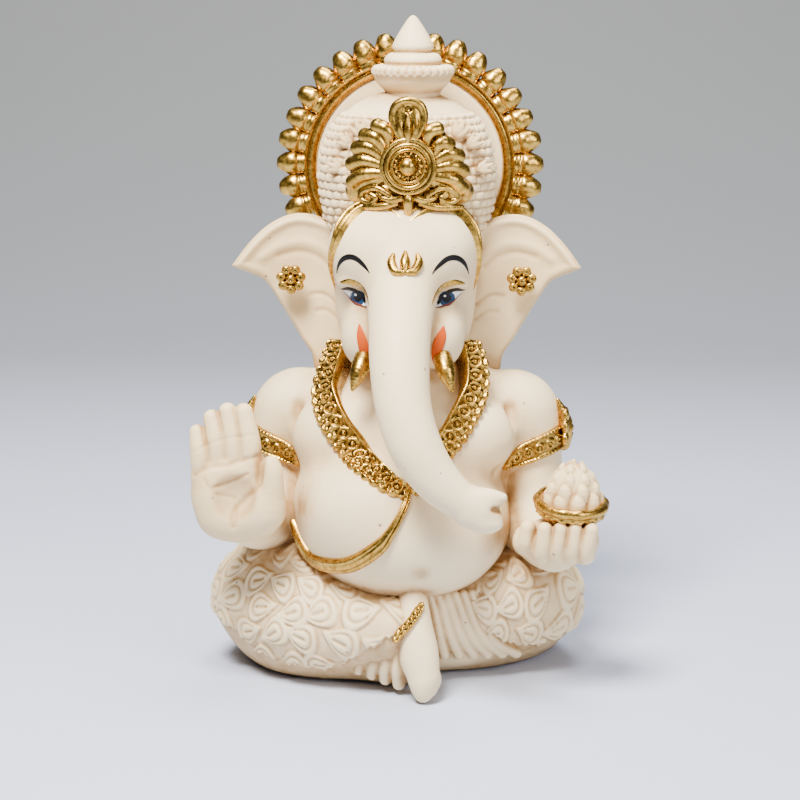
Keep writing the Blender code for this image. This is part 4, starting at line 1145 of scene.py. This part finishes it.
mark = Clay()
for path in ([(0.9, 87.4, 0.6), (0.9, 89.0, 1.1), (0.9, 90.9, 0.45)],
             [(0.2, 87.2, 0.6), (-1.0, 87.5, 0.9), (-1.8, 89.0, 0.95), (-1.5, 90.4, 0.45)],
             [(1.6, 87.2, 0.6), (2.8, 87.5, 0.9), (3.6, 89.0, 0.95), (3.3, 90.4, 0.45)]):
    front = drape([(x, z) for x, z, _ in path])
    mark.limb([(x, y - 0.35, z, r) for (x, y, _), (_, z, r) in zip(front, path)], 12, soft=0.2)
sculpture("forehead_mark", mark, 0.15, GOLD, "tilak", "gold_paint")

# ---------------------------------------------------------------- bowl of sweets

bowl_at = (34.5, -26.0, 40.6)
bowl = [(0, 0.0), (5.4, 0.0), (5.8, 0.5), (6.0, 1.0), (6.6, 1.35), (7.3, 1.2), (7.7, 0.6), (7.75, -0.1),
        (7.3, -0.5), (7.0, -0.6), (7.2, -1.0), (7.15, -1.5), (6.6, -1.9), (5.9, -2.6), (4.2, -3.8),
        (0, -4.2)]


def dented(turn, along, z):
    crimp = 0.16 * np.sin(23 * turn + np.sin(5 * turn)) * ramp_up((-0.8 - z) / 0.8)
    return 0.08 * np.sin(9 * turn + 1.5 * np.sin(4 * turn)) + crimp


lathe("offering_bowl", bowl, bowl_at, GOLD, "bowl", relief=dented, tilt=(9, 4, 0), steps=220,
      pitch=0.18)

heap = Clay()
heap.egg((34.9, -25.6, 43.4), (4.9, 4.6, 5.2))
SWEETS = ((9, 4.4, 40.4, 3.0, 1.75), (8, 3.9, 42.4, 3.0, 1.65), (7, 3.0, 44.3, 2.9, 1.45),
          (5, 1.8, 46.2, 2.6, 1.2))
for ring, (count, radius, height, lift, size) in enumerate(SWEETS):
    for i in range(count):
        angle = 2 * math.pi * (i + 0.5 * (ring % 2)) / count
        way = np.array([math.cos(angle), math.sin(angle), 0])
        base = np.array([34.9, -25.6, height]) + way * radius
        tip = base + way * 0.1 + np.array([0, 0, lift])
        heap.limb([(*base, size), (*(base + (tip - base) * 0.5 + way * 0.25), size * 0.85), (*tip, 0.25)],
                  6, soft=0.12)
heap.limb([(34.9, -25.6, 46.6, 1.6), (34.9, -25.6, 49.2, 0.5)], 4, soft=0.3)
sculpture("heaped_sweets", heap, 0.22, DARKER_IVORY, "sweets")

# ---------------------------------------------------------------- painted face


def stroke(name, spots, paint, lift=0.05, pitch=0.15):
    """A brush stroke on the face along (x, z, half width) spots."""
    places = drape([spot[:2] for spot in spots])
    knots = [(*place, spot[2]) for place, spot in zip(places, spots)]
    thin = lambda s, v, half: lift + 0.05 * (1 - v**2)
    return band(name, head, knots, thin, paint, "head", pitch=pitch, across=8, sink=0.15)


def dot(name, x, z, radius, paint, lift, tall=1.0):
    """A round spot of paint on the face."""
    turn = np.arange(28) * 2 * math.pi / 28
    rings = []
    for k in (0.02, 0.35, 0.7, 1.0):
        p = drape(np.stack([x + radius * k * np.cos(turn), z + radius * tall * k * np.sin(turn)], 1))
        rings.append(p + slope(head, p) * (lift - 0.03 * k))
    rings.append(rings[-1] - slope(head, rings[-1]) * (lift + 0.1))
    sheet = np.stack(rings)
    poles = np.array([sheet[0].mean(0), sheet[-1].mean(0)])
    return sweep(name, sheet, paint, "head", poles=poles)


for name, side in (("right", -1), ("left", 1)):
    def at(*spots):
        return [(side * x, z, half) for x, z, half in spots]

    stroke(f"{name}_brow", at((13.4, 85.6, 0.1), (12.6, 88, 0.42), (11.1, 89.3, 0.56), (9.3, 89.3, 0.56),
                              (7.5, 88, 0.42), (6.2, 86.5, 0.08)), BLACK)
    stroke(f"{name}_lid_gold", at((6.2, 80.6, 0.12), (7.0, 82.4, 0.5), (8.7, 83.7, 0.75), (10.7, 84.2, 0.6),
                                  (12.6, 83.8, 0.2)), GOLD)
    stroke(f"{name}_eye_white", at((6.9, 79.9, 0.15), (7.9, 80.2, 1.0), (9.2, 80.8, 1.55),
                                   (10.6, 81.3, 1.15), (12.0, 81.8, 0.2)), WHITE)
    dot(f"{name}_iris", side * 9.0, 80.8, 1.6, BLUE, 0.13)
    dot(f"{name}_pupil", side * 9.0, 80.8, 0.9, BLACK, 0.17)
    dot(f"{name}_glint", side * 9.0 - 0.4, 81.4, 0.24, WHITE, 0.21)
    stroke(f"{name}_upper_line", at((12.6, 82.2, 0.08), (11.2, 82.6, 0.44), (9.8, 82.4, 0.56),
                                    (8.4, 81.5, 0.5), (7.0, 79.9, 0.12)), BLACK, lift=0.12)
    stroke(f"{name}_lower_line", at((12.0, 81.6, 0.05), (10.4, 80.1, 0.16), (9.3, 79.5, 0.2),
                                    (8.2, 79.3, 0.18), (6.9, 79.5, 0.08)), RED_BROWN, lift=0.12)

stroke("right_cheek_flame", [(-8.4, 76.0, 0.1), (-8.1, 74.2, 0.8), (-7.6, 72.0, 1.05), (-7.1, 69.6, 0.95),
                             (-6.8, 67.2, 0.6), (-6.6, 64.6, 0.1)], ORANGE, lift=0.2)
stroke("left_cheek_flame", [(8.5, 75.8, 0.1), (8.2, 74.2, 0.9), (7.6, 72.4, 1.15), (7.1, 70.8, 0.95),
                            (6.8, 69.2, 0.55), (6.7, 67.8, 0.1)], ORANGE, lift=0.2)

# ---------------------------------------------------------------- painted shade in the hollows


def mesh_hollow(mesh, points, normals):
    """How strongly the mesh folds inwards at each point, per millimetre."""
    edges = np.empty(len(mesh.edges) * 2, np.int64)
    mesh.edges.foreach_get("vertices", edges)
    a, b = edges.reshape(-1, 2).T
    pull, weight = np.zeros((len(points), 3)), np.zeros(len(points))
    step = length(points[a] - points[b])
    for here, there in ((a, b), (b, a)):
        for axis in range(3):
            pull[:, axis] += np.bincount(here, points[there, axis] - points[here, axis], len(points))
        weight += np.bincount(here, step**2, len(points))
    hollow = 2 * np.einsum("ij,ij->i", pull, normals) / np.maximum(weight, 1e-9)
    for _ in range(2):
        total = np.bincount(a, hollow[b], len(points)) + np.bincount(b, hollow[a], len(points))
        count = np.bincount(a, minlength=len(points)) + np.bincount(b, minlength=len(points))
        hollow = (hollow + total / np.maximum(count, 1)) / 2
    return hollow


def crowding(points, normals):
    """How much of the space just outside each point is filled by the clay forms, from 0 to 1."""
    filled = np.zeros(len(points))
    for reach, share in ((1.0, 0.3), (2.4, 0.4), (5.0, 0.3)):
        probe = points + normals * reach
        room = np.full(len(points), reach)
        for field, low, high in masses:
            close = ((probe > low - reach) & (probe < high + reach)).all(1)
            if close.any():
                room[close] = np.minimum(room[close], in_chunks(field, probe[close]))
        filled += share * np.clip(1 - room / reach, 0, 1)
    return filled


for piece in [thing for thing in bpy.data.objects if thing.type == "MESH" and thing.name in made]:
    mesh = piece.data
    points = np.empty(len(mesh.vertices) * 3, np.float32)
    mesh.vertices.foreach_get("co", points)
    normals = np.empty(len(mesh.vertices) * 3, np.float32)
    mesh.vertices.foreach_get("normal", normals)
    points, normals = points.reshape(-1, 3).astype(float) / MM, normals.reshape(-1, 3).astype(float)
    hollow = mesh_hollow(mesh, points, normals)
    # Painted shade: the hollows of each mesh, and for the ivory also the space crowded by nearby clay forms,
    # give a 0 to 1 shade that the materials paint darker.
    metal = mesh.materials[0] == GOLD
    painted_shade = np.clip(hollow * (0.45 if metal else 0.5), 0, 1)
    if not metal:
        painted_shade = np.clip(painted_shade + crowding(points, normals) * 1.8, 0, 1)
    layer = mesh.attributes.new("painted_shade", "FLOAT", "POINT")
    layer.data.foreach_set("value", painted_shade.astype(np.float32))

# ---------------------------------------------------------------- camera and light

camera = bpy.data.objects.new("camera", bpy.data.cameras.new("camera"))
camera.data.lens = 101.9
camera.data.clip_start = 0.01
bpy.context.scene.collection.objects.link(camera)
camera.location = EYE * MM
camera.rotation_euler = Vector(AIM - EYE).to_track_quat("-Z", "Y").to_euler()
bpy.context.scene.camera = camera


def area_light(name, place, target, size, power, colour=(1, 1, 1)):
    lamp = bpy.data.objects.new(name, bpy.data.lights.new(name, "AREA"))
    lamp.data.size = size * MM
    lamp.data.energy = power
    lamp.data.color = colour
    lamp.location = Vector(place) * MM
    lamp.rotation_euler = (Vector(target) - Vector(place)).to_track_quat("-Z", "Y").to_euler()
    bpy.context.scene.collection.objects.link(lamp)


area_light("key", (-100, -250, 500), (0, 0, 60), 170, 10.6, (1.0, 0.965, 0.91))
area_light("fill", (330, -330, 260), (0, 0, 60), 200, 1.4, (1.0, 0.98, 0.96))
area_light("top", (60, 40, 460), (0, 0, 60), 200, 1.9)

world = bpy.data.worlds.new("studio")
world.use_nodes = True
world.node_tree.nodes["Background"].inputs["Color"].default_value = (0.75, 0.78, 0.84, 1.0)
world.node_tree.nodes["Background"].inputs["Strength"].default_value = 0.15
bpy.context.scene.world = world

# A sheet of pale card that lies under the figure and curves up behind it
curve = [(350 + 250 * math.sin(a), 250 - 250 * math.cos(a)) for a in np.linspace(0, math.pi / 2, 12)]
card_profile = [(-1400, 0), *curve, (600, 1400)]
card_points = [(x * MM, y * MM, (z - 0.05) * MM) for y, z in card_profile for x in (-1500, 1500)]
card_faces = [(2 * i, 2 * i + 1, 2 * i + 3, 2 * i + 2) for i in range(len(card_profile) - 1)]
card_mesh = bpy.data.meshes.new("card")
card_mesh.from_pydata(card_points, [], card_faces)
card_mesh.polygons.foreach_set("use_smooth", [True] * len(card_mesh.polygons))
card = bpy.data.objects.new("card", card_mesh)
bpy.context.scene.collection.objects.link(card)
card_finish = Nodes("card_finish")
depth = card_finish.add("ShaderNodeSeparateXYZ", _0=card_finish.point()).outputs["Y"]
far = card_finish.add("ShaderNodeMapRange", {"interpolation_type": "SMOOTHSTEP"}, _0=depth, _1=100.0,
                      _2=620.0)
# The card is painted darker towards the back, where it curves up behind the figure: painted shade for the
# light falling off there, over the pale lavender of the sheet near the figure.
card_finish.link(card_finish.mix(far.outputs[0], (0.50, 0.54, 0.67), (0.29, 0.30, 0.30)), "Base Color")
card_finish.shader.inputs["Roughness"].default_value = 0.8
card_mesh.materials.append(card_finish.material)
